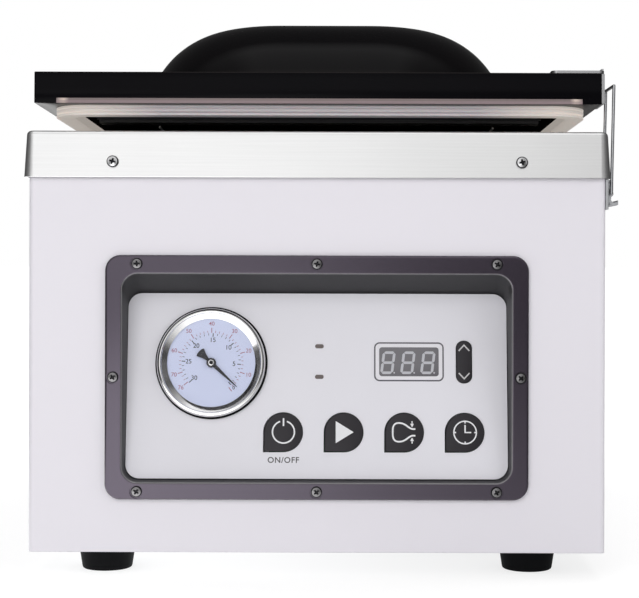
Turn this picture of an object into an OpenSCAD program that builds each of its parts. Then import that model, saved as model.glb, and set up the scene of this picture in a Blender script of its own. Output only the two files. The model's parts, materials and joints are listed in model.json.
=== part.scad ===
// Table-top chamber vacuum sealer with a hinged domed lid.
// The origin is on the table under the middle of the machine: X to the right,
// Y to the back, Z up. The lid is drawn a little ajar, as its springs hold it.

/* [Housing] */
// Width of the painted sheet housing
body_w = 329; // [326:1:329]
// Depth of the housing from its front sheet to its back edge
body_d = 442; // [438:1:442]
// Thickness of the housing sheet
sheet = 1.5; // [1:0.5:2]
// Height of the rubber feet
foot_h = 15; // [12:1:20]

/* [Deck] */
// Width of the stainless deck at the foot of its apron
deck_w = 335; // [335:1:338]
// Depth of the stainless deck
deck_d = 448; // [448:1:450]
// Height of the sealing face above the table
deck_top = 255; // [252:1:258]
// Height of the apron that laps over the housing
apron_h = 26.5; // [20:0.5:30]

/* [Chamber] */
// Inside width of the chamber
chamber_w = 268; // [266:1:272]
// Inside length of the chamber
chamber_l = 352; // [340:1:356]
// Depth of the chamber below the sealing face
chamber_depth = 52; // [50:1:60]

/* [Lid] */
// Width of the lid plate
lid_w = 324.8; // [320:0.1:327]
// Length of the lid plate from front to back
lid_l = 410; // [405:1:414]
// Thickness of the lid plate
lid_t = 18; // [15:1:20]
// Height of the dome above the plate
dome_h = 47; // [40:1:55]
// Radius of the dome's shoulder
dome_r = 60; // [58:1:66]
// How far the springs hold the lid ajar, in degrees
lid_ajar = 1.25; // [1:0.05:2]

/* [Control panel] */
// Width of the moulded bezel
bezel_w = 241; // [236:1:244]
// Height of the moulded bezel
bezel_h = 139; // [136:1:142]
// Lean of the panel from upright, in degrees
panel_tilt = 7.5; // [5:0.5:9]
// Diameter of the gauge's chrome ring
gauge_d = 65.3; // [60:0.1:66]
// Diameter of the round part of each key
key_d = 22.4; // [20:0.1:23]
// Distance between the keys
key_pitch = 34.7; // [34:0.1:36]

/* [Seal bar] */
// Length of the seal bar
bar_l = 260; // [240:1:260]
// How far the bladder lifts the seal bar
bar_lift = 8; // [6:0.5:8]

/* [Hidden] */
$fn = 64;

deck_front = -240;                          // front of the apron's foot
deck_cy = deck_front + deck_d/2;
body_front = -237;
body_cy = body_front + body_d/2;
body_back = body_front + body_d;
deck_sheet = 1.2;
body_top = deck_top - deck_sheet;
apron_flare = 1.5;                          // the apron's foot stands out this much
edge_r = 2.5;                               // bend along the deck's edges
bend_r = 3;                                 // outside bend of the housing's corners
lap_gap = 0.3;                              // between the housing and the apron over it
deck_r = bend_r + lap_gap + deck_sheet;     // outside corner of the deck
apron_straight = apron_h - edge_r;          // height of the apron below its bend
apron_lean = atan(apron_flare/apron_straight);
housing_top = body_top - 0.5;               // clears the inside of the deck's bend
deck_screw_z = 237.3;
deck_screw_out = apron_flare*(1 - (deck_screw_z - deck_top + apron_h)/apron_straight);

chamber_r = 22;
chamber_cy = -208 + chamber_l/2;
chamber_floor = deck_top - chamber_depth;
tub_wall = 1.5;
tub_r = 8;                                  // inside radius round the tub's floor
port_y = 121;                               // suction port in the tub's floor

panel_foot = [0, -234.5, 56.5];             // bottom middle of the panel's face
panel_w = 219;
panel_h = 106.7;
overlay_t = 1;
floor_t = 2;                                // moulded floor behind the overlay
mouth_w = 221.5;                            // opening of the bezel
mouth_h = 118.3;
mouth_z = 114.3;
bezel_z = 114.75;
bezel_t = 3;
bezel_r = 9;
bezel_holes = [[0, 64.6], [102.4, 64.6], [-102.4, 64.6], [116, 0], [-116, 0],
    [0, -65], [102.4, -65], [-102.4, -65]];

gauge_at = [-60.9, 66.2];
gauge_can_d = 60;
gauge_can_l = 28;
dial_z = 1.6;                               // height of the dial's face over the panel
key_x = [-19.3, -19.3 + key_pitch, -19.3 + 2*key_pitch, -19.3 + 3*key_pitch];
key_y = 26.6;
key_proud = 0.8;
key_gap = 0.25;
rocker_at = [84.7, 67.15];
rocker_w = 9;
rocker_h = 24.3;
display_at = [52.95, 67.2];
window_w = 34.5;
window_h = 16.8;
led_x = 1.3;
led_y = [76, 58.4];

hinge_y = 228;
hinge_z = 270;
hinge_x = 110;                              // hinge middles, left and right
shaft_d = 8;
running_gap = 0.05;
barrel_r = 11;
barrel_l = 30;
bracket_holes = [186, 204];                 // heights of the bracket screws
arm_holes = [112, 135, 158];                // distances back of the arm screws

lid_dx = 0.2;                               // the lid sits this far right of the deck
lid_front = -234;
lid_cy = lid_front + lid_l/2;
lid_under = deck_top + 6;                   // underside of the closed lid
lid_top = lid_under + lid_t;
lid_corner = 1;
dome_at = [3.5, -35];
dome_flat = [58, 90];                       // half sizes of the dome's flat crown
dome_flat_r = 30;
dome_wall = 5;
gasket_w = 310.6;
gasket_l = 388;
gasket_front = -226;
gasket_r = 22;
gasket_x = 1;                               // middle of the gasket's width
gasket_t = 11;
groove_depth = 5;

bar_y = -188;
bar_w = 14;
bar_under = 230;
bar_top = 246;
pin_d = 8;
pin_x = 118;
strip_under = bar_top + bar_lift + 0.2;

latch_y = -216;                             // middle of the side latch
latch_pivot = [body_w/2 + 3.9, 226];        // lever pivot, X and Z
bail_pivot = [body_w/2 + 4.2, 220.5];
latch_half = 9.5;                           // half the lever's width
latch_top = 228.2;                          // just under the apron
lever_end = 217.5;                          // where the lever's finger end curls away
bail_wire = 1.8;
bail_rise = 61.7;                           // hooked, it is taut with the lever closed
bail_half = 14;
bail_lean = 1.2;
catch_t = 2.2;

fan_at = [-85, 120];
fan_size = 80;
inlet_at = [-105, 50];
shell_back = body_back + sheet;             // outer face of the rear cover

// ---------- shared shapes ----------

// A rectangle with round corners.
module rounded(w, h, r) {
    square([w - 2*r, h], center = true);
    square([w, h - 2*r], center = true);
    for (x = [-1, 1], y = [-1, 1]) translate([x*(w/2 - r), y*(h/2 - r)]) circle(r);
}

// A flat plate with round corners, standing on z = 0.
module plate(w, l, t, r) { linear_extrude(t) rounded(w, l, r); }

// A profile carried round a rounded rectangle: the profile's X points outward
// from the path and its Y points up.
module carry_round(w, l, r) {
    for (s = [0, 180]) rotate([0, 0, s]) {
        translate([-(w/2 - r), l/2, 0]) rotate([90, 0, 90]) linear_extrude(w - 2*r) children();
        translate([w/2, l/2 - r, 0]) rotate([90, 0, 0]) linear_extrude(l - 2*r) children();
    }
    for (x = [0, 1], y = [0, 1]) mirror([x, 0, 0]) mirror([0, y, 0])
        translate([w/2 - r, l/2 - r, 0]) rotate_extrude(angle = 90) translate([r, 0]) children();
}

// A quarter of a ring between two radii, in the first quadrant.
module quarter_ring(r_out, r_in) {
    intersection() {
        difference() { circle(r_out); circle(r_in); }
        square(r_out);
    }
}

// A pan-head screw with a cross recess, its head on z = 0 pointing up.
module pan_screw(head_r, head_h, shank_r, shank_l) {
    difference() {
        union() {
            rotate_extrude() intersection() {
                translate([0, head_h - head_r*1.6]) circle(head_r*1.6);
                square([head_r, head_h]);
            }
            translate([0, 0, -shank_l]) cylinder(h = shank_l, r = shank_r);
        }
        for (a = [0, 90]) rotate([0, 0, a])
            translate([-head_r*0.55, -head_r*0.12, head_h*0.45])
                cube([head_r*1.1, head_r*0.24, head_h]);
    }
}

// Places children on the leaning panel: X right, Y up the panel, Z out of it.
module on_panel() { translate(panel_foot) rotate([90 - panel_tilt, 0, 0]) children(); }

// Turns children from upright on the front, with Y drawn up, to face forward.
module facing_front(y) { translate([0, y, 0]) rotate([90, 0, 0]) children(); }

// Carries the lid's pieces from closed to the angle they rest at.
module lid_at_rest() {
    translate([0, hinge_y, hinge_z]) rotate([-lid_ajar, 0, 0])
        translate([0, -hinge_y, -hinge_z]) children();
}

// A rigid tube bent along a list of points.
function unit(v) = v/norm(v);
function heading(p, i) = unit(p[min(i + 1, len(p) - 1)] - p[max(i - 1, 0)]);
function side_of(h) = unit(cross(abs(h.z) > 0.9 ? [1, 0, 0] : [0, 0, 1], h));
module tube_along(p, r, sides = 10) {
    rings = [for (i = [0:len(p) - 1]) let (h = heading(p, i), s = side_of(h), u = cross(h, s))
        for (k = [0:sides - 1]) p[i] + r*(cos(k*360/sides)*s + sin(k*360/sides)*u)];
    last = (len(p) - 1)*sides;
    polyhedron(rings, concat([[for (k = [0:sides - 1]) k]],
        [for (i = [0:len(p) - 2], k = [0:sides - 1]) let (a = i*sides, n = (k + 1) % sides)
            [a + n, a + k, a + k + sides, a + n + sides]],
        [[for (k = [0:sides - 1]) last + sides - 1 - k]]));
}

// ---------- housing ----------

module side_slots(x) {
    for (i = [0:7]) translate([x, 60 + i*14, 60]) rotate([90, 0, 90])
        linear_extrude(8, center = true) rounded(5, 44, 2.4);
}

module housing() color("whitesmoke") difference() {
    translate([0, body_cy, foot_h]) plate(body_w, body_d, housing_top - foot_h, bend_r);
    translate([0, body_cy, foot_h - 1])
        plate(body_w - 2*sheet, body_d - 2*sheet, body_top, bend_r - sheet);
    // the back is open inside a folded rim, closed by the rear cover
    translate([-body_w/2 + 12, body_back - 5, foot_h + 12])
        cube([body_w - 24, 10, 185]);
    facing_rear() for (p = cover_holes()) translate([p.x, p.y, -5]) cylinder(h = 10, r = 1.8);
    at_deck_screws() cylinder(h = 16, r = 1.8, center = true);
    facing_front(body_front + 5) translate([0, mouth_z, 0])
        linear_extrude(10) rounded(bezel_w - 13, bezel_h - 14, 8);
    facing_front(body_front + 5) for (p = bezel_holes)
        translate([p.x, bezel_z + p.y, 0]) cylinder(h = 10, r = 1.6);
    for (s = [-1, 1]) side_slots(s*body_w/2);
}

module base_plate() color("lightgrey") difference() {
    union() {
        translate([0, body_cy, foot_h]) plate(body_w - 2*sheet, body_d - 2*sheet, sheet, 1.5);
        translate([0, body_cy, foot_h]) difference() {
            plate(body_w - 2*sheet, body_d - 2*sheet, 14, 1.5);
            translate([0, 0, -1]) plate(body_w - 4*sheet, body_d - 4*sheet, 20, 1);
        }
    }
    for (i = [0:9]) translate([-70 + i*15, -60, foot_h - 1]) plate(6, 90, 6, 2.9);
    for (p = foot_places()) translate([p.x, p.y, foot_h - 1]) cylinder(h = 5, r = 2.6);
}

module rear_cover() color("whitesmoke") facing_rear() difference() {
    translate([0, (body_top - 30 + foot_h)/2, 0])
        plate(body_w - 8, body_top - 30 - foot_h - 2, sheet, 3);
    translate([fan_at.x, fan_at.y, -1]) for (i = [-3:3])
        translate([0, i*9.5, 0]) plate(2*sqrt(36*36 - pow(i*9.5, 2)), 5, 5, 2.4);
    for (i = [0:8], k = [0, 1]) translate([30 + k*75, 70 + i*11, -1]) plate(60, 4.4, 5, 2.1);
    translate([inlet_at.x, inlet_at.y, -1]) plate(27.6, 20.6, 5, 2);
    for (p = cover_holes()) translate([p.x, p.y, -1]) cylinder(h = 5, r = 1.8);
    for (s = [-1, 1], z = bracket_holes) translate([s*hinge_x, z, -1]) cylinder(h = 5, r = 2.6);
}

// Turns children drawn facing +Z, with Y up, to face backward from the housing's back edge.
module facing_rear() translate([0, body_back, 0]) rotate([90, 0, 0]) mirror([0, 0, 1]) children();

function cover_holes() = [for (x = [-156.5, 0, 156.5], y = [21, 217]) [x, y]];
module cover_screws() color("silver") facing_rear()
    for (p = cover_holes()) translate([p.x, p.y, sheet]) pan_screw(3.4, 2, 1.8, 2*sheet);

function foot_places() = [for (x = [-124, 124], y = [-202, 168]) [x, y]];
module feet() color("black") for (p = foot_places()) translate([p.x, p.y, 0]) difference() {
    union() {
        cylinder(h = foot_h - 2, r1 = 14.5, r2 = 16.6);
        translate([0, 0, foot_h - 2]) cylinder(h = 2, r = 16.9);
    }
    translate([0, 0, -1]) cylinder(h = 8, r = 6);
    cylinder(h = 20, r = 2.6);
}
module foot_screws() color("silver") for (p = foot_places()) translate([p.x, p.y, 7]) {
    mirror([0, 0, 1]) pan_screw(4.8, 3, 2.5, 14);
    translate([0, 0, foot_h + sheet - 7]) cylinder(h = 4, r = 4.6, $fn = 6);
}

// ---------- deck and chamber ----------

module deck() color("silver") difference() {
    w = deck_w - 2*apron_flare;
    d = deck_d - 2*apron_flare;
    translate([0, deck_cy, 0]) {
        translate([0, 0, deck_top - apron_h]) carry_round(w, d, deck_r) {
            polygon([[apron_flare - deck_sheet, 0], [apron_flare, 0],
                [0, apron_straight], [-deck_sheet, apron_straight]]);
            translate([-edge_r, apron_straight]) quarter_ring(edge_r, edge_r - deck_sheet);
        }
        translate([0, 0, deck_top - deck_sheet])
            plate(w - 2*edge_r, d - 2*edge_r, deck_sheet, deck_r - edge_r);
    }
    translate([0, chamber_cy, deck_top - 5]) plate(chamber_w, chamber_l, 10, chamber_r);
    at_deck_screws() cylinder(h = 16, r = 1.8, center = true);
}

// Places children at the screws that hold the apron to the housing, Z pointing out.
module at_deck_screws() {
    inset = apron_flare - deck_screw_out;
    facing_front(deck_front + inset) for (x = [-116.3, 116.3])
        translate([x, deck_screw_z, 0]) rotate([-apron_lean, 0, 0]) children();
    for (s = [-1, 1], y = [-120, 120])
        translate([s*(deck_w/2 - inset), y, deck_screw_z]) rotate([0, s*(90 - apron_lean), 0]) children();
}
module deck_screws() color("silver") at_deck_screws() pan_screw(3.4, 2.1, 1.8, 5);

module chamber() color("gainsboro") difference() {
    translate([0, chamber_cy, chamber_floor]) {
        carry_round(chamber_w, chamber_l, chamber_r) {
            translate([0, tub_r]) square([tub_wall, chamber_depth - tub_r - deck_sheet]);
            translate([0, chamber_depth - deck_sheet - tub_wall]) square([10, tub_wall]);
            translate([-tub_r, tub_r]) mirror([0, 1]) quarter_ring(tub_r + tub_wall, tub_r);
        }
        translate([0, 0, -tub_wall])
            plate(chamber_w - 2*tub_r, chamber_l - 2*tub_r, tub_wall, chamber_r - tub_r);
    }
    translate([0, port_y, chamber_floor - 5]) cylinder(h = 10, r = 8);
}

// Slotted cap over the suction port in the chamber's floor.
module suction_grille() color("silver") translate([0, port_y, chamber_floor]) {
    difference() {
        cylinder(h = 4, r = 11.5);
        translate([0, 0, -1]) cylinder(h = 3.5, r = 9);
        for (a = [0:30:150]) rotate([0, 0, a]) translate([-15, -0.8, -1]) cube([30, 1.6, 3]);
    }
    translate([0, 0, -11]) difference() {
        cylinder(h = 11, r = 7.8);
        translate([0, 0, -1]) cylinder(h = 13, r = 5);
    }
}

module filler_plate() color("white")
    translate([0, -18, chamber_floor]) plate(236, 250, 10, 14);

module bladder() color("dimgrey") translate([0, bar_y, chamber_floor])
    carry_along_x(200) {
        translate([0, 4]) rounded(18, 8, 3.9);
        translate([0, 15]) rounded(18, 14, 6.9);
        translate([0, (bar_under - chamber_floor) - 2.5]) rounded(12, 5, 2.4);
    }
// Extrudes a profile of X across and Y up along the machine's X axis, centred.
module carry_along_x(l) { translate([-l/2, 0, 0]) rotate([90, 0, 90]) linear_extrude(l) children(); }

module bar_pins() color("silver") for (s = [-1, 1]) translate([s*pin_x, bar_y, 0]) {
    translate([0, 0, chamber_floor]) cylinder(h = 40, r = pin_d/2);
    translate([0, 0, chamber_floor]) cylinder(h = 3, r = 7);
}

module seal_bar() color("lightgrey") difference() {
    translate([0, bar_y, 0]) carry_along_x(bar_l) difference() {
        translate([-bar_w/2, bar_under]) square([bar_w, bar_top - bar_under]);
        for (s = [-1, 1]) translate([s*bar_w/2, bar_under + 7]) circle(1.6);
    }
    for (s = [-1, 1]) translate([s*pin_x, bar_y, bar_under - 1])
        cylinder(h = 15, r = pin_d/2 + running_gap);
}

module heating_strip() color("peru") translate([0, bar_y, 0]) {
    carry_along_x(bar_l - 4) {
        translate([-bar_w/2, bar_top]) square([bar_w, 0.4]);
        translate([0, bar_top + 0.4]) intersection() {
            circle(1.6);
            translate([-2, 0]) square([4, 0.6]);
        }
    }
}

// ---------- control panel ----------

module mouth_hull(grow) hull() {
    facing_front(deck_front + 0.5 - grow) translate([0, mouth_z, 0])
        linear_extrude(0.1) rounded(mouth_w + 2*grow, mouth_h + 2*grow, 9 + grow, $fn = 32);
    on_panel() translate([0, panel_h/2, -overlay_t - grow])
        linear_extrude(0.1) rounded(panel_w + 2*grow, panel_h + 2*grow, 8 + grow, $fn = 32);
}

module bezel() color("darkslategrey") difference() {
    union() {
        difference() {
            union() {
                facing_front(body_front) translate([0, bezel_z, 0])
                    linear_extrude(bezel_t) rounded(bezel_w, bezel_h, bezel_r);
                mouth_hull(2);
            }
            mouth_hull(0);
            facing_front(deck_front + 1) translate([0, mouth_z, 0])
                linear_extrude(5) rounded(mouth_w, mouth_h, 9);
            // the face of the frame stays flat
            translate([-200, deck_front - 10, 0]) cube([400, 10, 250]);
        }
    }
    on_panel() panel_holes(0.5, 4);
    facing_front(body_front + 5) for (p = bezel_holes)
        translate([p.x, bezel_z + p.y, 0]) cylinder(h = 12, r = 1.6);
    facing_front(body_front - bezel_t + 1.2) for (p = bezel_holes)
        translate([p.x, bezel_z + p.y, 0]) cylinder(h = 5, r = 3.7);
}

module bezel_screws() color("grey") facing_front(body_front - bezel_t + 1.2)
    for (p = bezel_holes) translate([p.x, bezel_z + p.y, 0]) pan_screw(3.4, 1.4, 1.5, 7);

// The outline of a key: a disc with one square corner, low on the left.
module key_outline(grow) {
    r = key_d/2 + grow;
    circle(r);
    translate([-r, -r]) square(r);
}

// Every hole that the panel and its floor share, grown by a gap.
module panel_holes(grow, reach) translate([0, 0, -reach]) {
    translate([gauge_at.x, gauge_at.y, 0]) cylinder(h = 2*reach, r = gauge_can_d/2 + 0.2);
    linear_extrude(2*reach) {
        for (x = key_x) translate([x, key_y]) key_outline(key_gap + grow/2);
        translate(rocker_at)
            rounded(rocker_w + 2*key_gap + grow, rocker_h + 2*key_gap + grow, rocker_w/2);
        translate(display_at) rounded(window_w, window_h, 0.8);
        for (y = led_y) translate([led_x, y]) rounded(5, 2.4, 1.15);
    }
}

module panel_plate() color("gainsboro") on_panel() difference() {
    translate([0, panel_h/2, -overlay_t]) plate(panel_w - 0.2, panel_h - 0.2, overlay_t, 8);
    panel_holes(0, 4);
}

// A key with the rim behind the floor that holds it in.
module key_cap(i) on_panel() translate([key_x[i], key_y, 0]) {
    depth = overlay_t + floor_t;
    translate([0, 0, -depth - 0.3]) linear_extrude(depth + 0.3 + key_proud - 0.3) key_outline(0);
    translate([0, 0, key_proud - 0.3]) linear_extrude(0.3) key_outline(-0.3);
    translate([0, 0, -depth - 1.2]) linear_extrude(1) key_outline(1);
}
module key_power() color("dimgrey") key_cap(0);
module key_start() color("dimgrey") key_cap(1);
module key_seal() color("dimgrey") key_cap(2);
module key_set() color("dimgrey") key_cap(3);

module rocker_key() color("dimgrey") on_panel() translate([rocker_at.x, rocker_at.y, 0]) {
    translate([0, 0, -overlay_t - 1.5]) linear_extrude(overlay_t + 1.5 + key_proud)
        rounded(rocker_w, rocker_h, rocker_w/2 - 0.05);
    // a stub axle across the back, on which the key tips
    translate([-rocker_w/2 - 2, 0, -overlay_t - floor_t - 1.5]) rotate([0, 90, 0])
        cylinder(h = rocker_w + 4, r = 1.2);
    translate([-rocker_w/2 + 1, -1.6, -overlay_t - floor_t - 2]) cube([rocker_w - 2, 3.2, 3]);
}

module led_lenses() color("tan") on_panel() for (y = led_y) translate([led_x, y, -3])
    linear_extrude(3.4) rounded(5, 2.4, 1.15);

module display_window() color("black") on_panel() translate([display_at.x, display_at.y, -2]) {
    linear_extrude(2.3) rounded(window_w, window_h, 0.8);
    translate([0, 0, -1.6]) linear_extrude(1.6) rounded(window_w - 0.4, window_h - 0.4, 0.6);
}

board_z = -14;                              // front face of the board behind the panel
module display_module() color("white") on_panel() translate([display_at.x, display_at.y, board_z])
    linear_extrude(-board_z - 3.6) rounded(37.6, 19, 0.8);

module tact_switch(h) {
    translate([-3, -3, 0]) cube([6, 6, 4]);
    cylinder(h = h, r = 1.7);
}

module control_board() color("darkgreen") on_panel() {
    translate([39, 52, board_z - 1.6]) plate(134, 92, 1.6, 2);
    // tact switches behind the keys and the rocker, and the stand-offs
    for (x = key_x) translate([x, key_y, board_z]) tact_switch(9.2);
    for (s = [-1, 1]) translate([rocker_at.x, rocker_at.y + s*8, board_z]) tact_switch(10);
    for (x = [-22, 100], y = [9, 94]) translate([x, y, board_z])
        cylinder(h = -board_z - overlay_t - floor_t, r = 3);
    translate([10, 70, board_z - 12]) cube([20, 16, 10.4]);
    translate([50, 62, board_z - 9]) cube([30, 12, 7.4]);
}

// ---------- vacuum gauge ----------

module at_gauge() on_panel() translate([gauge_at.x, gauge_at.y, 0]) children();

module gauge_case() color("silver") at_gauge() difference() {
    union() {
        translate([0, 0, -gauge_can_l]) cylinder(h = gauge_can_l + 1, r = gauge_can_d/2);
        translate([0, 0, -gauge_can_l - 10]) cylinder(h = 10, r = 5);
        translate([0, 0, -gauge_can_l - 5]) cylinder(h = 5, r = 7, $fn = 6);
    }
    translate([0, 0, -gauge_can_l + 1]) cylinder(h = gauge_can_l + 5, r = gauge_can_d/2 - 1);
}
module gauge_dial() color("aliceblue") at_gauge() difference() {
    translate([0, 0, dial_z - 0.6]) cylinder(h = 0.6, r = 29);
    cylinder(h = 5, r = 2.2);
}
module gauge_movement() color("gold") at_gauge() {
    translate([0, 0, -gauge_can_l + 1]) cylinder(h = 8, r = 9);
    translate([-8, -5, -gauge_can_l + 8]) cube([16, 10, gauge_can_l - 12]);
    translate([0, 0, -8]) cylinder(h = 8 + dial_z + 2.2, r = 0.8);
}
module gauge_pointer() color("black") at_gauge() rotate([0, 0, -43]) difference() {
    translate([0, 0, dial_z + 0.7]) union() {
        cylinder(h = 1.2, r = 2.7);
        linear_extrude(0.5) polygon([[0, -1.1], [19.8, -0.25], [19.8, 0.25], [0, 1.1]]);
        linear_extrude(0.5) polygon([[0, -0.9], [-9, -2.5], [-10.5, 0], [-9, 2.5], [0, 0.9]]);
    }
    cylinder(h = 5, r = 0.8 + running_gap);
}
module gauge_lens() color("lightcyan") at_gauge() translate([0, 0, 4.6]) cylinder(h = 1.4, r = 27.6);
module gauge_bezel() color("silver") at_gauge() rotate_extrude() {
    r = gauge_d/2;
    difference() {
        union() {
            translate([25.9, 1]) square([r - 25.9 - 3, 5]);
            translate([r - 3, 3.2]) intersection() { circle(3); translate([-3, -3.2]) square([6, 6.2]); }
            translate([r - 4.2, 0]) square([4.2, 3.2]);
        }
        translate([25, 0]) square([2.6, 4.6]);
        translate([25, 4.6]) square([2.6, 1.4]);
        translate([20, 0]) square([9.2, dial_z]);
        translate([20, 0]) square([10.1, 1]);
    }
}

// ---------- lid ----------

// The dome's solid shape: a flat crown inside round shoulders, drawn from z = 0.
module dome_form(inset) {
    r = dome_r - inset;
    w = 2*(dome_flat.x - dome_flat_r);
    l = 2*(dome_flat.y - dome_flat_r);
    h = dome_h - inset;
    module half_profile() intersection() {
        union() {
            square([dome_flat_r, h]);
            translate([dome_flat_r, h - r]) circle(r);
        }
        square([dome_flat_r + r, h]);
    }
    for (x = [0, 1], y = [0, 1]) mirror([x, 0, 0]) mirror([0, y, 0])
        translate([w/2, l/2, 0]) rotate_extrude(angle = 90) half_profile();
    for (s = [0, 180]) rotate([0, 0, s]) {
        translate([-w/2, l/2, 0]) rotate([90, 0, 90]) linear_extrude(w) half_profile();
        translate([w/2, l/2, 0]) rotate([90, 0, 0]) linear_extrude(l) half_profile();
    }
    translate([-w/2, -l/2, 0]) cube([w, l, h]);
}

// How far the mouth through the plate reaches beyond the flat crown: just inside the dome's foot.
mouth_reach = sqrt(pow(dome_r - dome_wall, 2) - pow(dome_r - dome_h, 2)) - 2;

module lid() color([0.12, 0.1, 0.1, 0.85]) lid_at_rest() difference() {
    union() {
        translate([lid_dx, lid_cy, lid_under]) plate(lid_w, lid_l, lid_t, lid_corner);
        translate([lid_dx + dome_at.x, dome_at.y, lid_top]) dome_form(0);
    }
    translate([lid_dx + dome_at.x, dome_at.y, lid_top]) dome_form(dome_wall);
    translate([lid_dx + dome_at.x, dome_at.y, lid_under - 1])
        plate(2*(dome_flat.x + mouth_reach), 2*(dome_flat.y + mouth_reach), lid_t + 5,
            dome_flat_r + mouth_reach);
    along_gasket() translate([-gasket_t/2 + 1, -1]) square([gasket_t - 2, groove_depth + 1]);
}

// Carries a profile along the middle of the gasket.
module along_gasket() translate([gasket_x, gasket_front + gasket_l/2, lid_under])
    carry_round(gasket_w - gasket_t, gasket_l - gasket_t, gasket_r - gasket_t/2) children();

// Silicone gasket: a root in the lid's groove and three lips below it.
module lid_gasket() color("mistyrose") lid_at_rest() along_gasket() {
    translate([-gasket_t/2 + 1, 0]) square([gasket_t - 2, groove_depth]);
    polygon([[-4.5, 0], [5.5, 0], [5.5, -1], [3.7, -2.2], [5.5, -3.2], [5.5, -4], [3.9, -4.8],
        [5.5, -5.5], [5.5, -6], [-4.5, -6], [-5.5, -5], [-4.5, -3]]);
}

module counter_bar() color("lightgrey") lid_at_rest() translate([lid_dx, bar_y, 0]) carry_along_x(264) {
    translate([-9, lid_under - 3]) square([18, 3]);
    for (s = [-1, 1]) translate([s*8 - 1, lid_under - 5]) square([2, 3]);
}
module counter_strip() color("salmon") lid_at_rest() translate([lid_dx, bar_y, 0]) carry_along_x(262)
    translate([-6.5, strip_under]) square([13, lid_under - 3 - strip_under]);

module hinge_arms() color("silver") lid_at_rest()
    for (s = [-1, 1]) translate([s*hinge_x, 0, 0]) difference() {
    union() {
        translate([-15, 98, lid_top]) cube([30, hinge_y - 98, 4]);
        translate([-barrel_l/2, hinge_y, hinge_z]) rotate([0, 90, 0]) cylinder(h = barrel_l, r = barrel_r);
        translate([-15, 182, hinge_z - 6]) cube([30, hinge_y - 182, lid_top - hinge_z + 8]);
    }
    translate([-barrel_l, hinge_y, hinge_z]) rotate([0, 90, 0])
        cylinder(h = 2*barrel_l, r = shaft_d/2 + running_gap);
    for (y = arm_holes) translate([0, y, lid_top - 1]) cylinder(h = 8, r = 2.6);
}
module arm_screws() color("silver") lid_at_rest() for (s = [-1, 1], y = arm_holes)
    translate([s*hinge_x, y, lid_top + 4]) pan_screw(4.4, 2.6, 2.5, 4);

module hinge_brackets() color("silver") for (s = [-1, 1]) translate([s*hinge_x, 0, 0]) difference() {
    union() {
        translate([-26, shell_back, 176]) cube([52, 3, 46]);
        for (e = [-1, 1]) translate([e*21 - 2.5, 0, 0]) {
            translate([0, hinge_y, hinge_z]) rotate([0, 90, 0]) cylinder(h = 5, r = 12);
            translate([5, 0, 0]) rotate([90, 0, -90]) linear_extrude(5)
                polygon([[-(shell_back + 2), 178], [-(hinge_y + 12), hinge_z],
                    [-(hinge_y - 11.8), hinge_z - 2], [-(shell_back + 2.2), 222]]);
        }
    }
    for (e = [-30, 14]) translate([e, hinge_y, hinge_z]) rotate([0, 90, 0]) cylinder(h = 16, r = shaft_d/2);
    for (z = bracket_holes) translate([0, 300, z]) rotate([90, 0, 0]) cylinder(h = 120, r = 2.6);
}
module bracket_screws() color("silver") for (s = [-1, 1], z = bracket_holes)
    translate([s*hinge_x, shell_back + 3, z]) rotate([-90, 0, 0]) pan_screw(4.4, 2.6, 2.5, 6);

module hinge_shaft() color("grey") translate([-hinge_x - 28, hinge_y, hinge_z]) rotate([0, 90, 0])
    cylinder(h = 2*(hinge_x + 28), r = shaft_d/2);

// Torsion springs on the shaft between the hinges, each a close-wound coil.
module hinge_springs() color("grey") for (s = [-1, 1]) translate([s*69.5, hinge_y, hinge_z])
    rotate([0, 90, 0]) rotate_extrude() {
        for (i = [-6:6]) translate([7, i*2.6]) circle(1.4);
        translate([5.6, -16]) square([1, 32]);
    }

// ---------- side latch ----------

module lid_catch() color("silver") lid_at_rest() {
    x0 = lid_dx + lid_w/2;
    translate([x0 - 13, latch_y, lid_top]) difference() {
        plate(26 + 2*catch_t, 28, 2, 3);
        for (y = [-8, 8]) translate([-6, y, -1]) cylinder(h = 5, r = 1.6);
    }
    translate([x0, latch_y - 14, lid_under + 1]) cube([catch_t, 28, lid_t - 1]);
    // the lip that the bail hooks over
    translate([x0 + catch_t - 1.2, latch_y - 10, lid_top]) cube([1.2, 20, 3.5]);
}

module latch_base() color("dimgrey") difference() {
    union() {
        translate([body_w/2, latch_y - 20, 211]) cube([1.6, 40, latch_top - 211]);
        for (s = [-1, 1]) {
            translate([body_w/2, latch_y + s*11 - 1, 222]) cube([5.6, 2, latch_top - 222]);
            // the rivets that hold the plate to the case
            for (z = [214.5, 224.5]) translate([body_w/2, latch_y + s*16, z]) rotate([0, 90, 0])
                cylinder(h = 2.6, r1 = 2.4, r2 = 1.9);
        }
    }
    latch_pin(latch_pivot, 1.2 + running_gap, 40);
}

// A cylinder lying along the machine's Y axis, centred on the latch.
module latch_pin(at, r, l) translate([at.x, latch_y - l/2, at.y]) rotate([-90, 0, 0]) cylinder(h = l, r = r);

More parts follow.
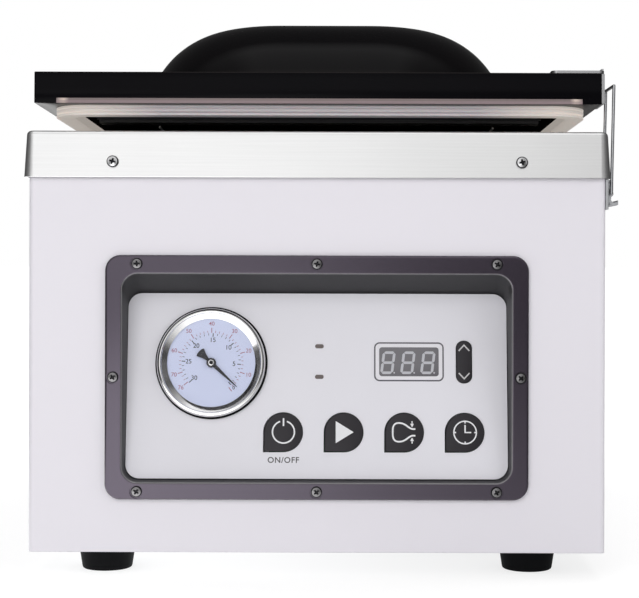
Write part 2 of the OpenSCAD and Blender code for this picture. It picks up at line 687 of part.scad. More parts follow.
module latch_lever() color("lightgrey") difference() {
    union() {
        latch_pin(latch_pivot, 1.2, 24.6);
        for (p = [latch_pivot, bail_pivot]) latch_pin(p, 2, 2*latch_half);
        translate([latch_pivot.x - 1, latch_y - latch_half, lever_end])
            cube([2, 2*latch_half, latch_pivot.y - lever_end]);
        translate([latch_pivot.x + 3, latch_y - latch_half, lever_end]) rotate([-90, 0, 0]) intersection() {
            difference() {
                cylinder(h = 2*latch_half, r = 4);
                translate([0, 0, -1]) cylinder(h = 2*latch_half + 2, r = 2.2);
            }
            translate([-4, 0, 0]) cube([6, 4, 2*latch_half + 1]);
        }
    }
    latch_pin(bail_pivot, bail_wire/2 + running_gap, 30);
}
module latch_bail() color("silver")
    translate([bail_pivot.x, latch_y, bail_pivot.y]) rotate([0, bail_lean, 0]) {
    for (s = [-1, 1]) translate([0, s*bail_half, 0]) {
        cylinder(h = bail_rise, r = bail_wire/2);
        rotate([s*90, 0, 0]) cylinder(h = bail_half - 6, r = bail_wire/2);
        for (z = [0, bail_rise]) translate([0, 0, z]) sphere(bail_wire/2);
    }
    translate([0, -bail_half, bail_rise]) rotate([-90, 0, 0]) cylinder(h = 2*bail_half, r = bail_wire/2);
}

// ---------- machinery inside ----------

module pump() color("grey") translate([60, -150, 78]) {
    rotate([-90, 0, 0]) cylinder(h = 62, r = 44);
    for (i = [0:5]) translate([0, 6 + i*10, 0]) rotate([-90, 0, 0]) cylinder(h = 3, r = 50);
    translate([-26, 10, 30]) cube([52, 46, 34]);
    translate([0, 33, 60]) cylinder(h = 16, r = 7);
}
module pump_motor() color("steelblue") translate([60, -88, 78]) {
    rotate([-90, 0, 0]) cylinder(h = 150, r = 48);
    translate([0, 150, 0]) rotate([-90, 0, 0]) cylinder(h = 14, r1 = 48, r2 = 36);
    for (a = [0:20:340]) rotate([0, a, 0]) translate([-1.2, 20, 46]) cube([2.4, 110, 6]);
}
module pump_feet() color("black") difference() {
    for (s = [-1, 1], y = [-126, 30]) translate([60 + s*34, y, foot_h + sheet]) {
        cylinder(h = 12, r = 9);
        translate([-8, -10, 12]) cube([16, 20, 30]);
    }
    translate([60, -160, 78]) rotate([-90, 0, 0]) cylinder(h = 72, r = 50);
    translate([60, -60, 78]) rotate([-90, 0, 0]) cylinder(h = 160, r = 52.1);
}
module transformer() color("saddlebrown") translate([-100, -30, foot_h + sheet]) {
    translate([-38, -32, 8]) cube([76, 64, 64]);
    translate([-26, -44, 20]) cube([52, 88, 40]);
    for (s = [-1, 1]) translate([s*44 - 10, -14, 0]) cube([20, 28, 8.5]);
}
module valve_block() color("silver") translate([-100, 90, foot_h + sheet]) {
    translate([-40, -14, 0]) cube([80, 28, 26]);
    for (x = [-27, 0, 27]) translate([x, 0, 26]) {
        cylinder(h = 6, r = 9);
        translate([0, 0, 6]) cylinder(h = 28, r = 12);
    }
}
hose_path = [[60, -117, 154], [60, -117, 162], [58, -108, 172], [50, -84, 178], [36, -36, 179],
    [19, 26, 179], [6, 80, 179], [1, 106, 180], [0, 117, 183], [0, port_y, 188], [0, port_y, 192]];
module vacuum_hose() color("lightblue") tube_along(hose_path, 7.5, 12);

// Places children at the fan, Z pointing into the housing from the rear cover.
module at_fan() { translate([fan_at.x, body_back, fan_at.y]) rotate([90, 0, 0]) children(); }
module fan_frame() color("black") at_fan() difference() {
    plate(fan_size, fan_size, 25, 5);
    translate([0, 0, -1]) cylinder(h = 22, r = 37.5);
    translate([0, 0, 20]) difference() {
        cylinder(h = 10, r = 37.5);
        cylinder(h = 10, r = 18);
        for (a = [45:90:315]) rotate([0, 0, a]) translate([0, -2, 0]) cube([50, 4, 12]);
    }
    cylinder(h = 30, r = 1.5 + running_gap);
}
module fan_rotor() color("dimgrey") at_fan() {
    translate([0, 0, 3]) cylinder(h = 16.5, r = 16);
    translate([0, 0, 15]) cylinder(h = 9, r = 1.5);
    for (a = [0:360/7:359]) rotate([0, 0, a])
        translate([15, 0, 11]) rotate([32, 0, 0]) translate([0, -9, -0.8]) cube([20.5, 18, 1.6]);
}

module power_inlet() color("black") facing_rear() translate([inlet_at.x, inlet_at.y, 0]) difference() {
    union() {
        translate([0, 0, sheet]) plate(48, 24, 3, 4);
        translate([0, 0, -18]) plate(27, 20, 20, 2);
        for (x = [-7, 0, 7]) translate([x - 2, x == 0 ? 1 : -3, -24]) cube([4, 0.8, 10]);
    }
    translate([0, 0, -12]) difference() {
        plate(24.4, 16.8, 20, 2);
        for (x = [-7, 0, 7]) translate([x - 1, x == 0 ? 0 : -4, -1]) cube([2, 4, 13]);
    }
}

housing();
base_plate();
rear_cover();
cover_screws();
feet();
foot_screws();
deck();
deck_screws();
chamber();
suction_grille();
filler_plate();
bladder();
bar_pins();
seal_bar();
heating_strip();
bezel();
bezel_screws();
panel_plate();
key_power();
key_start();
key_seal();
key_set();
rocker_key();
led_lenses();
display_window();
display_module();
control_board();
gauge_case();
gauge_dial();
gauge_movement();
gauge_pointer();
gauge_lens();
gauge_bezel();
lid();
lid_gasket();
counter_bar();
counter_strip();
hinge_arms();
arm_screws();
hinge_brackets();
bracket_screws();
hinge_shaft();
hinge_springs();
lid_catch();
latch_base();
latch_lever();
latch_bail();
pump();
pump_motor();
pump_feet();
transformer();
valve_block();
vacuum_hose();
fan_frame();
fan_rotor();
power_inlet();
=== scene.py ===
import json
import math
import random

import bmesh
import bpy
from mathutils import Matrix, Vector

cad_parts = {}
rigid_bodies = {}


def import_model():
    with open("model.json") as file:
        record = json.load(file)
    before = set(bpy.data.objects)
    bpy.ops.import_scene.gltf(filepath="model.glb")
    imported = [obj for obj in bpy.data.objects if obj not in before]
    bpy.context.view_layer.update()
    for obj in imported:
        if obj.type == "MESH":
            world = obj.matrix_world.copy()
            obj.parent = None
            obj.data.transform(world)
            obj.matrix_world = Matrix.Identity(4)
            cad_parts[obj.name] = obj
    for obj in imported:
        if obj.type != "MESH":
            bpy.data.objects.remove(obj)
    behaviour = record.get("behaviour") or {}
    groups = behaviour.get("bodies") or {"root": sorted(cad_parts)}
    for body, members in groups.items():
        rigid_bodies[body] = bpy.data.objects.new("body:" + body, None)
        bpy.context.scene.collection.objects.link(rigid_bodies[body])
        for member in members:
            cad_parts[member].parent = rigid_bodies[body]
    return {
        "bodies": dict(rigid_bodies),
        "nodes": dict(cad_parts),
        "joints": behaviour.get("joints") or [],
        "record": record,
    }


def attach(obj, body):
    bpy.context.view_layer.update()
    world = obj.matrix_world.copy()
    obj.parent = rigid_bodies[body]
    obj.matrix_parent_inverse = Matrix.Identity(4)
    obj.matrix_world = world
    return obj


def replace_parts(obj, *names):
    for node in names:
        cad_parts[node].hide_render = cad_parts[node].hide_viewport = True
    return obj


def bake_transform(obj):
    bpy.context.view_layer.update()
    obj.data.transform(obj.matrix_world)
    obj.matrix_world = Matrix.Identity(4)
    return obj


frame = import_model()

nodes = frame["nodes"]
joints = {joint["name"]: joint for joint in frame["joints"]}
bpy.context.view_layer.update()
mm = 0.001
scene = bpy.context.scene


# Shader maths: an expression on values adds its Math nodes

def mathNode(operation, reflected=False):
    def apply(self, other=0.0):
        first, second = (other, self) if reflected else (self, other)
        return self.finish.add("Math", {"operation": operation}, {0: first, 1: second})
    return apply


class Value:
    def __init__(self, finish, socket):
        self.finish = finish
        self.socket = socket

    __add__ = __radd__ = mathNode("ADD")
    __sub__, __rsub__ = mathNode("SUBTRACT"), mathNode("SUBTRACT", True)
    __mul__ = __rmul__ = mathNode("MULTIPLY")
    __truediv__ = mathNode("DIVIDE")
    __pow__ = mathNode("POWER")
    __gt__ = mathNode("GREATER_THAN")
    __lt__ = mathNode("LESS_THAN")
    size = mathNode("ABSOLUTE")
    atLeast = mathNode("MAXIMUM")


finishes = {}


# One material being made; add() makes any node from its type, settings and socket values
class Finish:
    def __init__(self, name):
        self.material = bpy.data.materials.new(name)
        self.material.use_nodes = True
        self.tree = self.material.node_tree
        self.shader = self.tree.nodes["Principled BSDF"]
        finishes[name] = self.material

    def add(self, kind, settings=None, sockets=None, output=0):
        node = self.tree.nodes.new("ShaderNode" + kind)
        for key, setting in (settings or {}).items():
            if key == "stops":
                self.setStops(node.color_ramp, setting)
            else:
                setattr(node, key, setting)
        for key, given in (sockets or {}).items():
            self.feed(node.inputs[key], given)
        return Value(self, node.outputs[output])

    def setStops(self, ramp, stops):
        while len(ramp.elements) < len(stops):
            ramp.elements.new(0.5)
        for element, (place, level) in zip(ramp.elements, stops):
            element.position = place
            element.color = (level, level, level, 1)

    def feed(self, socket, given):
        if isinstance(given, Value):
            self.tree.links.new(given.socket, socket)
        elif socket.type == "RGBA" and len(given) == 3:
            socket.default_value = (*given, 1)
        else:
            socket.default_value = given

    def dress(self, settings):
        for key, given in settings.items():
            self.feed(self.shader.inputs[key], given)

    def place(self, stretch=(1, 1, 1)):
        spot = self.add("TexCoord", output=3)
        return self.add("Mapping", {}, {"Vector": spot, "Scale": stretch})

    def axis(self, letter):
        spot = self.add("TexCoord", output=3)
        return self.add("SeparateXYZ", {}, {0: spot}, "XYZ".index(letter))

    def noise(self, scale, detail=3.0, stretch=(1, 1, 1), rough=0.5):
        sockets = {"Vector": self.place(stretch), "Scale": scale, "Detail": detail, "Roughness": rough}
        return self.add("TexNoise", {}, sockets)

    def ramp(self, factor, stops):
        return self.add("ValToRGB", {"stops": stops}, {0: factor})

    def blend(self, factor, first, second):
        return self.add("Mix", {"data_type": "RGBA"}, {0: factor, 6: first, 7: second}, 2)

    def relief(self, height, distance, strength=1.0, edge=0.0):
        sockets = {"Height": height, "Distance": distance, "Strength": strength}
        if edge:
            sockets["Normal"] = self.add("Bevel", {"samples": 6}, {"Radius": edge})
        return self.add("Bump", {}, sockets)


def tint(color, factor):
    return tuple(min(1.0, part * factor) for part in color)


# Finishes

def paintedSheet(name, color, roughness, coat, cloudScale, peelScale, depth, strength, edge):
    finish = Finish(name)
    cloud, peel = finish.noise(cloudScale, 2.0), finish.noise(peelScale, 2.0)
    finish.dress({
        "Base Color": finish.blend(cloud, tint(color, 0.985), tint(color, 1.012)),
        "Roughness": roughness + 0.08 * (cloud - 0.5),
        "Coat Weight": coat,
        "Coat Roughness": 0.25,
        "Normal": finish.relief(peel, depth, strength, edge),
    })


def brushedMetal(name, color, contrast, roughness, spread, lineScale, stretch, cloudScale, edge,
                 strength=0.4):
    finish = Finish(name)
    fine, broad = finish.noise(lineScale, 4.0, stretch, 0.62), finish.noise(cloudScale, 2.0)
    finish.dress({
        "Base Color": finish.blend(fine, tint(color, 1 - contrast), color),
        "Metallic": 1.0,
        "Roughness": roughness + spread * (fine - 0.5) + 0.06 * (broad - 0.5),
        "Normal": finish.relief(fine, 0.00002, strength, edge),
    })


def smoothMetal(name, color, roughness, spread, cloudScale, edge=0.0, depth=0.00001):
    finish = Finish(name)
    cloud = finish.noise(cloudScale)
    finish.dress({
        "Base Color": finish.blend(cloud, tint(color, 0.9), color),
        "Metallic": 1.0,
        "Roughness": roughness + spread * (cloud - 0.5),
        "Normal": finish.relief(cloud, depth, 0.5, edge),
    })


def moulded(name, color, roughness, grainScale, cloudScale, depth, strength, edge=0.0, specular=0.5,
            subsurface=0.0, ior=1.5, sheen=(1.0, 1.0, 1.0)):
    finish = Finish(name)
    grain, cloud = finish.noise(grainScale), finish.noise(cloudScale, 2.0)
    finish.dress({
        "Base Color": finish.blend(cloud, tint(color, 0.92), tint(color, 1.05)),
        "Roughness": roughness + 0.1 * (grain - 0.5),
        "IOR": ior,
        "Subsurface Weight": subsurface,
        "Subsurface Scale": 0.002,
        "Specular IOR Level": specular,
        "Specular Tint": sheen,
        "Normal": finish.relief(grain, depth, strength, edge),
    })


def printedInk(name, color, roughness=0.55):
    finish = Finish(name)
    speck = finish.noise(9000.0, 2.0)
    finish.dress({
        "Base Color": finish.blend(speck, tint(color, 0.94), color),
        "Roughness": roughness + 0.1 * (speck - 0.5),
    })


def clearGlass(name, color, ior, alpha):
    finish = Finish(name)
    smear = finish.noise(60.0)
    finish.dress({
        "Base Color": color,
        "Roughness": 0.02 + 0.04 * smear,
        "IOR": ior,
        "Alpha": alpha + 0.01 * smear,
    })


def wovenTape(name, color, threadScale):
    finish = Finish(name)
    warp, weft = [finish.add("TexWave", {"wave_type": "BANDS", "bands_direction": way}, {
        "Vector": finish.place(), "Scale": threadScale, "Distortion": 0.4}) for way in "XY"]
    thread = warp * weft
    finish.dress({
        "Base Color": finish.blend(thread, tint(color, 0.7), color),
        "Roughness": 0.5 + 0.1 * thread,
        "Normal": finish.relief(thread, 0.0001, 0.6),
    })


# The lid's acrylic: nearly black; a painted reflection makes it a little warmer and lighter low down
def smokedAcrylic(name, settings):
    finish = Finish(name)
    cloud = finish.noise(settings["cloudScale"], 2.0)
    rise = (finish.axis("Z") - settings["lowZ"]) / (settings["highZ"] - settings["lowZ"])
    color = finish.blend(rise, settings["lowReflectionColor"], settings["color"])
    finish.dress({
        "Base Color": finish.blend(cloud * 0.08, color, settings["lowReflectionColor"]),
        "Roughness": settings["roughness"] + 0.02 * cloud,
        "Specular IOR Level": settings["specular"],
        "IOR": 1.49,
    })
    return finish


# Pale silicone: a painted glow and colour stand in for light passing through the side runs, less so along the
# front
def paleSilicone(name, settings):
    finish = Finish(name)
    grain = finish.noise(settings["grainScale"])
    sideways = finish.ramp((finish.axis("X").size() - settings["sideFrom"]) / settings["sideFade"],
                           [(0.0, 0.0), (1.0, 1.0)])
    atFront = (finish.axis("Y") < settings["frontY"]) * (1 - sideways)
    finish.dress({
        "Base Color": finish.blend(atFront, settings["sideColor"], settings["frontColor"]),
        "Roughness": settings["roughness"] + 0.1 * (grain - 0.5),
        "Subsurface Weight": settings["subsurface"],
        "Subsurface Scale": settings["subsurfaceScale"],
        "Emission Color": finish.blend(atFront, settings["paintedSideGlow"], settings["paintedFrontGlow"]),
        "Emission Strength": 1.0,
        "Normal": finish.relief(grain, settings["grainDepth"], settings["grainStrength"], 0.0),
    })


# The plate's upright faces: a painted band low down stands for the root of the gasket seen through, with
# painted highlights near its corners
def acrylicEdge(name, settings):
    finish = smokedAcrylic(name, settings)
    back, across = finish.axis("Y"), finish.axis("X")
    height = finish.axis("Z") + (back - settings["hingeY"]) * math.sin(settings["ajar"]) - settings["underZ"]
    fromMiddleX = (across - settings["middleX"]).size()
    fromMiddleY = (back - settings["middleY"]).size()
    onFront = fromMiddleY > settings["endsFrom"]
    reach = onFront * (fromMiddleX < settings["reachX"]) + (1 - onFront) * (fromMiddleY < settings["reachY"])
    band = (height < settings["bandTop"]) * (height > settings["bandLow"]) * reach
    upper = height > settings["bandSplit"]
    stripes = finish.blend(upper, settings["lowerColor"], settings["upperColor"])
    # painted highlights: glints near the ends of the front run
    corner = finish.ramp(fromMiddleX / settings["reachX"] * onFront, settings["glint"])
    lit = finish.blend(corner * (0.5 + 0.5 * upper), stripes, settings["glintColor"])
    streak = finish.noise(settings["streakScale"], 3.0, (1, 1, 9))
    lit = finish.blend(streak * 0.35, lit, tint(settings["lowerColor"], 0.8))
    cloud = finish.noise(settings["cloudScale"], 2.0)
    plain = finish.blend(cloud, settings["color"], tint(settings["color"], 1.25))
    finish.dress({"Base Color": finish.blend(band, plain, lit)})


# Each row gives a finish its settings, in the order of the columns; those left out keep their defaults
def makeAll(maker, columns, rows):
    for name, row in rows.items():
        maker(name, **dict(zip(columns.split(), row)))


makeAll(paintedSheet, "color roughness coat cloudScale peelScale depth strength edge", {
    "caseWhite": ((0.82, 0.795, 0.85), 0.38, 0.12, 7, 700, 0.00006, 0.25, 0.0008),
    "motorEnamel": ((0.09, 0.12, 0.15), 0.35, 0.3, 12, 300, 0.0001, 0.4, 0.0006),
})
makeAll(brushedMetal, "color contrast roughness spread lineScale stretch cloudScale edge strength", {
    "deckSteel": ((0.86, 0.86, 0.86), 0.16, 0.34, 0.18, 900, (0.012, 1, 1), 14, 0.0005, 0.5),
    "tubSteel": ((0.78, 0.78, 0.78), 0.12, 0.3, 0.14, 700, (1, 0.02, 1), 10, 0.0006),
    "hingeSteel": ((0.72, 0.72, 0.72), 0.15, 0.33, 0.14, 800, (1, 0.02, 0.05), 20, 0.0006),
    "barAluminium": ((0.8, 0.81, 0.82), 0.1, 0.32, 0.12, 900, (0.02, 1, 1), 30, 0.0005),
})
makeAll(smoothMetal, "color roughness spread cloudScale edge depth", {
    "zincPlate": ((0.62, 0.63, 0.65), 0.36, 0.14, 260, 0.0003, 0.00003),
    "screwSteel": ((0.66, 0.66, 0.67), 0.24, 0.1, 400),
    "bezelScrewSteel": ((0.2, 0.195, 0.2), 0.26, 0.1, 400),
    "springSteel": ((0.45, 0.45, 0.46), 0.28, 0.1, 300),
    "chrome": ((0.76, 0.755, 0.76), 0.07, 0.03, 30),
    "castAlloy": ((0.5, 0.51, 0.52), 0.5, 0.2, 500, 0.001, 0.0002),
    # this dark finish also paints shade onto the screw heads
    "blackAnodised": ((0.03, 0.03, 0.033), 0.4, 0.1, 300, 0.0004),
})
makeAll(moulded, "color roughness grainScale cloudScale depth strength edge specular subsurface ior sheen", {
    # painted light: the lid's underside is lighter outside the groove as a painted reflection and black
    # inside it as painted shade
    "lidUnder": ((0.085, 0.08, 0.08), 0.3, 900, 20, 0.00001, 0.2, 0, 0.06),
    "lidInner": ((0.006, 0.0057, 0.0062), 0.5, 900, 20, 0.00001, 0.2, 0, 0),
    "padSilicone": ((0.018, 0.017, 0.019), 0.5, 1200, 40, 0.00003, 0.4, 0.0004),
    "bladderRubber": ((0.03, 0.03, 0.031), 0.55, 700, 30, 0.00008, 0.5),
    "footRubber": ((0.007, 0.0073, 0.008), 0.75, 1600, 60, 0.00006, 0.5, 0, 0.05),
    "bezelPlastic": ((0.018, 0.014, 0.0205), 0.16, 500, 9, 0.00001, 0.3, 0, 0.5, 0, 1.7, (1.0, 0.88, 1.08)),
    # painted light: the lip finish is a painted highlight, and the wall finish also paints a dark line of
    # shade round the outer edge
    "bezelLip": ((0.17, 0.165, 0.17), 0.3, 500, 9, 0.00001, 0.3),
    "bezelWall": ((0.02, 0.0195, 0.022), 0.42, 1500, 20, 0.00002, 0.3, 0, 0.25),
    "overlayFilm": ((0.76, 0.75, 0.8), 0.45, 3500, 10, 0.00002, 0.35),
    "keyPlastic": ((0.017, 0.0147, 0.0185), 0.34, 2500, 60, 0.00002, 0.3, 0, 0.3),
    "lensPlastic": ((0.12, 0.095, 0.09), 0.22, 800, 90, 0.00001, 0.2, 0, 0.5, 0.1),
    "displayLens": ((0.14, 0.134, 0.148), 0.16, 600, 40, 0.00001, 0.2),
    "boardWhite": ((0.78, 0.78, 0.75), 0.5, 900, 18, 0.00004, 0.4, 0.001, 0.5, 0.1),
    "blackPlastic": ((0.02, 0.02, 0.021), 0.42, 1500, 40, 0.00004, 0.4, 0.0005),
    "boardGreen": ((0.01, 0.09, 0.04), 0.35, 900, 120, 0.00003, 0.4),
    "windingVarnish": ((0.3, 0.1, 0.04), 0.4, 700, 50, 0.0002, 0.6, 0.001),
    "clearHose": ((0.35, 0.42, 0.45), 0.3, 200, 30, 0.00004, 0.3, 0, 0.5, 0.2),
})
makeAll(printedInk, "color roughness", {
    "dialPaint": ((0.68, 0.73, 0.95), 0.5),
    "filmPale": ((0.8, 0.785, 0.83), 0.45),
    "segmentGrey": ((0.5, 0.5, 0.54), 0.4),
    "inkWhite": [(0.82, 0.82, 0.84)],
    "inkSilver": [(0.56, 0.55, 0.56)],
    "inkGrey": [(0.09, 0.085, 0.1)],
    "inkLabel": [(0.09, 0.085, 0.09)],
    "inkBlack": [(0.02, 0.02, 0.025)],
    "inkRed": [(0.36, 0.13, 0.2)],
})
clearGlass("gaugeGlass", color=(0.1, 0.105, 0.12), ior=1.5, alpha=0.02)
wovenTape("tapeWeave", color=(0.36, 0.2, 0.1), threadScale=700)
# painted reflection: the acrylic is warmer and lighter low on the dome
smokedAcrylic("lidAcrylic", {
    "color": (0.0035, 0.0033, 0.0038), "lowReflectionColor": (0.023, 0.0185, 0.0185), "lowZ": 0.283, "highZ": 0.298,
    "roughness": 0.1, "specular": 0.07, "cloudScale": 20})
# painted light on the plate's upright faces: the gasket's root as a painted band with painted glints
acrylicEdge("lidFace", {
    "color": (0.003, 0.0028, 0.0036), "lowReflectionColor": (0.0038, 0.0035, 0.004), "lowZ": 0.26, "highZ": 0.28,
    "roughness": 0.12, "specular": 0.035, "cloudScale": 20, "streakScale": 120,
    "underZ": 0.261, "hingeY": 0.228, "ajar": math.radians(1.25), "middleX": 0.001, "middleY": -0.029,
    "endsFrom": 0.2, "reachX": 0.1504, "reachY": 0.186, "bandLow": -0.001, "bandSplit": 0.0016,
    "bandTop": 0.0029, "lowerColor": (0.3, 0.235, 0.245), "upperColor": (0.23, 0.19, 0.185),
    "glintColor": (0.8, 0.66, 0.58), "glint": [(0.952, 0.0), (0.972, 1.0), (0.985, 0.7), (0.998, 0.0)]})
# painted glow: the side runs glow brighter than the front run
paleSilicone("gasketSilicone", {
    "frontColor": (0.56, 0.525, 0.54), "sideColor": (0.5, 0.47, 0.45), "paintedFrontGlow": (0.085, 0.08, 0.085),
    "paintedSideGlow": (0.34, 0.31, 0.28), "frontY": -0.2, "sideFrom": 0.09, "sideFade": 0.05, "roughness": 0.42,
    "grainScale": 900, "grainDepth": 0.00002, "grainStrength": 0.3, "subsurface": 0.25,
    "subsurfaceScale": 0.003})

cadFinish = {
    "caseWhite": "housing rear_cover",
    "deckSteel": "deck",
    "tubSteel": "chamber suction_grille",
    "hingeSteel": "hinge_arms hinge_brackets",
    "barAluminium": "seal_bar",
    "zincPlate": "base_plate bar_pins gauge_case hinge_shaft hinge_springs latch_base latch_lever latch_bail",
    "screwSteel": "cover_screws foot_screws deck_screws bezel_screws arm_screws bracket_screws",
    "springSteel": "lid_catch",
    "chrome": "gauge_bezel",
    "castAlloy": "pump valve_block",
    "blackAnodised": "gauge_movement counter_bar",
    "lidAcrylic": "lid",
    "gasketSilicone": "lid_gasket",
    "padSilicone": "counter_strip",
    "footRubber": "feet bladder pump_feet",
    "bezelPlastic": "bezel",
    "overlayFilm": "panel_plate",
    "keyPlastic": "key_power key_start key_seal key_set rocker_key",
    "lensPlastic": "led_lenses",
    "displayLens": "display_window",
    "boardWhite": "filler_plate display_module",
    "boardGreen": "control_board",
    "blackPlastic": "fan_frame fan_rotor power_inlet",
    "windingVarnish": "transformer",
    "motorEnamel": "pump_motor",
    "clearHose": "vacuum_hose",
    "dialPaint": "gauge_dial",
    "inkBlack": "gauge_pointer",
    "gaugeGlass": "gauge_lens",
    "tapeWeave": "heating_strip",
}
for finishName, nodeNames in cadFinish.items():
    for nodeName in nodeNames.split():
        materialSlots = nodes[nodeName].data.materials
        for index in range(len(materialSlots)):
            materialSlots[index] = finishes[finishName]
        if not len(materialSlots):
            materialSlots.append(finishes[finishName])
print("finishes done")


# Places: the panel leans back, the lid rests a little open

panelTilt = math.asin(-joints["power_press"]["axis"][2])
panelFoot = Vector((0, -0.2345, 0.0565))
panelMatrix = Matrix.Translation(panelFoot) @ Matrix.Rotation(math.radians(90) - panelTilt, 4, "X")
hinge = Vector(joints["lid_hinge"]["pos_m"])
lidAjar = math.radians(1.25)
lidMatrix = Matrix.Translation(hinge) @ Matrix.Rotation(-lidAjar, 4, "X") @ Matrix.Translation(-hinge)
origin = Matrix.Identity(4)
# local Y up, local Z towards the user
frontMatrix = Matrix.Rotation(math.radians(90), 4, "X")


def shifted(matrix, x=0.0, y=0.0, z=0.0, turn=0.0):
    return matrix @ Matrix.Translation((x * mm, y * mm, z * mm)) @ Matrix.Rotation(math.radians(turn), 4, "Z")


# Ink is drawn one unit thick and flattened onto a face
def inkOn(matrix, height, thick=0.03, sink=0.01):
    return shifted(matrix, z=height - sink) @ Matrix.Diagonal((1, 1, thick, 1))


# Mesh helpers, all in millimetres until a piece is placed

def addObject(name, data):
    added = bpy.data.objects.new(name, data)
    scene.collection.objects.link(added)
    return added


def newMesh(name, points, faces):
    mesh = bpy.data.meshes.new(name)
    mesh.from_pydata(points, [], faces)
    return mesh


def resolved(added):
    bpy.context.view_layer.update()
    return added.evaluated_get(bpy.context.evaluated_depsgraph_get())


class Shape:
    def __init__(self):
        self.points, self.faces, self.marks = [], [], []

    def add(self, points, faces, matrix=None, mark=0):
        start = len(self.points)
        matrix = matrix or origin
        self.points += [matrix @ Vector((p[0] * mm, p[1] * mm, p[2] * mm)) for p in points]
        self.faces += [tuple(start + i for i in face) for face in faces]
        self.marks += mark if isinstance(mark, list) else [mark] * len(faces)

    def piece(self, name, body, materials, sharp, slot):
        mesh = newMesh(name, self.points, self.faces)
        for finishName in materials.split():
            mesh.materials.append(finishes[finishName])
        for polygon, mark in zip(mesh.polygons, self.marks):
            polygon.material_index = mark
            polygon.use_smooth = True
        tidy = bmesh.new()
        tidy.from_mesh(mesh)
        bmesh.ops.remove_doubles(tidy, verts=tidy.verts, dist=1e-7)
        bmesh.ops.recalc_face_normals(tidy, faces=tidy.faces)
        tidy.to_mesh(mesh)
        tidy.free()
        mesh.set_sharp_from_angle(angle=math.radians(sharp))
        piece = addObject(name, mesh)
        if body:
            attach(piece, body)
        return piece


def around(angle, radius):
    return radius * math.cos(math.radians(angle)), radius * math.sin(math.radians(angle))


def arc(centreX, centreY, radius, start, end, steps):
    spots = [around(start + (end - start) * i / steps, radius) for i in range(steps + 1)]
    return [(centreX + x, centreY + y) for x, y in spots]


def roundedLoop(width, height, radius, steps=10):
    points = []
    for sideX, sideY, start in [(1, 1, 0), (-1, 1, 90), (-1, -1, 180), (1, -1, 270)]:
        centreX, centreY = sideX * (width / 2 - radius), sideY * (height / 2 - radius)
        points += arc(centreX, centreY, radius, start, start + 90, steps)
    return points


# The loop of a zone, drawn out by some distance; a zone is width, height, radius and centre
def zoneLoop(zone, grow, depth, steps):
    width, height, radius, centreX, centreY = zone
    return [(x + centreX, y + centreY, depth)
            for x, y in roundedLoop(width + 2 * grow, height + 2 * grow, radius + grow, steps)]


# An outline as a function of how far it is drawn in
def insetLoop(width, height, radius, steps, shrink=1.0):
    return lambda inset: roundedLoop(width - 2 * inset, height - 2 * inset, radius - shrink * inset, steps)


def mirroredBack(outline):
    return [(x, -y) for x, y in reversed(outline)]


# Joins closed loops of equal length with quads; each loop is a list of 3D points
def loft(loops, capFirst=True, capLast=True):
    count = len(loops[0])
    points = [point for loop in loops for point in loop]
    faces = []
    for a in range(0, (len(loops) - 1) * count, count):
        for i in range(count):
            j = (i + 1) % count
            faces.append((a + i, a + j, a + count + j, a + count + i))
    if capFirst:
        faces.append(tuple(range(count - 1, -1, -1)))
    if capLast:
        last = (len(loops) - 1) * count
        faces.append(tuple(last + i for i in range(count)))
    return points, faces


# Turns a list of (radius, height) about the local Z axis
def lathe(profile, steps):
    points = []
    rows = []
    for radius, height in profile:
        if radius < 1e-6:
            rows.append([len(points)] * steps)
            points.append((0, 0, height))
        else:
            rows.append(list(range(len(points), len(points) + steps)))
            points += [(*around(360 * i / steps, radius), height) for i in range(steps)]
    faces = []
    for low, high in zip(rows, rows[1:]):
        for i in range(steps):
            j = (i + 1) % steps
            ring = []
            for index in (low[i], low[j], high[j], high[i]):
                if index not in ring:
                    ring.append(index)
            if len(ring) > 2:
                faces.append(tuple(ring))
    return points, faces


# A lathed ring, its section closed on itself
def hoop(section, steps):
    return lathe(section + section[:1], steps)


# A slab from an outline function of inset, with a rounded upper edge
def slab(outline, base, top, edge, steps=4):
    loops = [[(x, y, base) for x, y in outline(0)]]
    for step in range(steps + 1):
        angle = math.radians(90 * step / steps)
        inset = edge * (1 - math.cos(angle))
        loops.append([(x, y, top - edge + edge * math.sin(angle)) for x, y in outline(inset)])
    return loft(loops)


# Cuts one shape out of a finished piece
def carve(piece, shape, sharp):
    cutter = addObject("cutter", newMesh("cutter", shape.points, shape.faces))
    piece.modifiers.new("cut", "BOOLEAN").object = cutter
    carved = bpy.data.meshes.new_from_object(resolved(piece))
    piece.modifiers.clear()
    piece.data = carved
    carved.set_sharp_from_angle(angle=math.radians(sharp))
    bpy.data.objects.remove(cutter)


# A round tube along points, with frames carried without twist
def tube(route, radius, sides):
    route = [Vector(p) for p in route]
    side = None
    loops = []
    for i, point in enumerate(route):
        heading = (route[min(i + 1, len(route) - 1)] - route[max(i - 1, 0)]).normalized()
        if side is None:
            side = heading.orthogonal().normalized()
        side = (side - heading * side.dot(heading)).normalized()
        up = heading.cross(side)
        loops.append([point + side * x + up * y for x, y in arc(0, 0, radius, 0, 360, sides)[:-1]])
    return loft(loops)


# A flat ribbon of even width along 2D points, one unit thick
def ribbon(route, width, closed=False):
    route = [Vector(spot) for spot in route]
    last = len(route) - 1
    loops = []
    for i, spot in enumerate(route):
        before = route[i - 1] if closed or i else spot
        after = route[(i + 1) % len(route)] if closed or i < last else spot
        run, one = (after - before).normalized(), (spot - before).normalized()
        stretch = 1 / max(0.5, abs(run.dot(one))) if closed or 0 < i < last else 1
        across = Vector((-run.y, run.x)) * (width / 2 * stretch)
        left, right = spot + across, spot - across
        loops.append([(*left, 0), (*right, 0), (*right, 1), (*left, 1)])
    return loft(loops + loops[:1] if closed else loops, not closed, not closed)


# A filled outline as a thin plate
def plate(outline, base=0, top=1):
    return loft([[(x, y, base) for x, y in outline], [(x, y, top) for x, y in outline]])


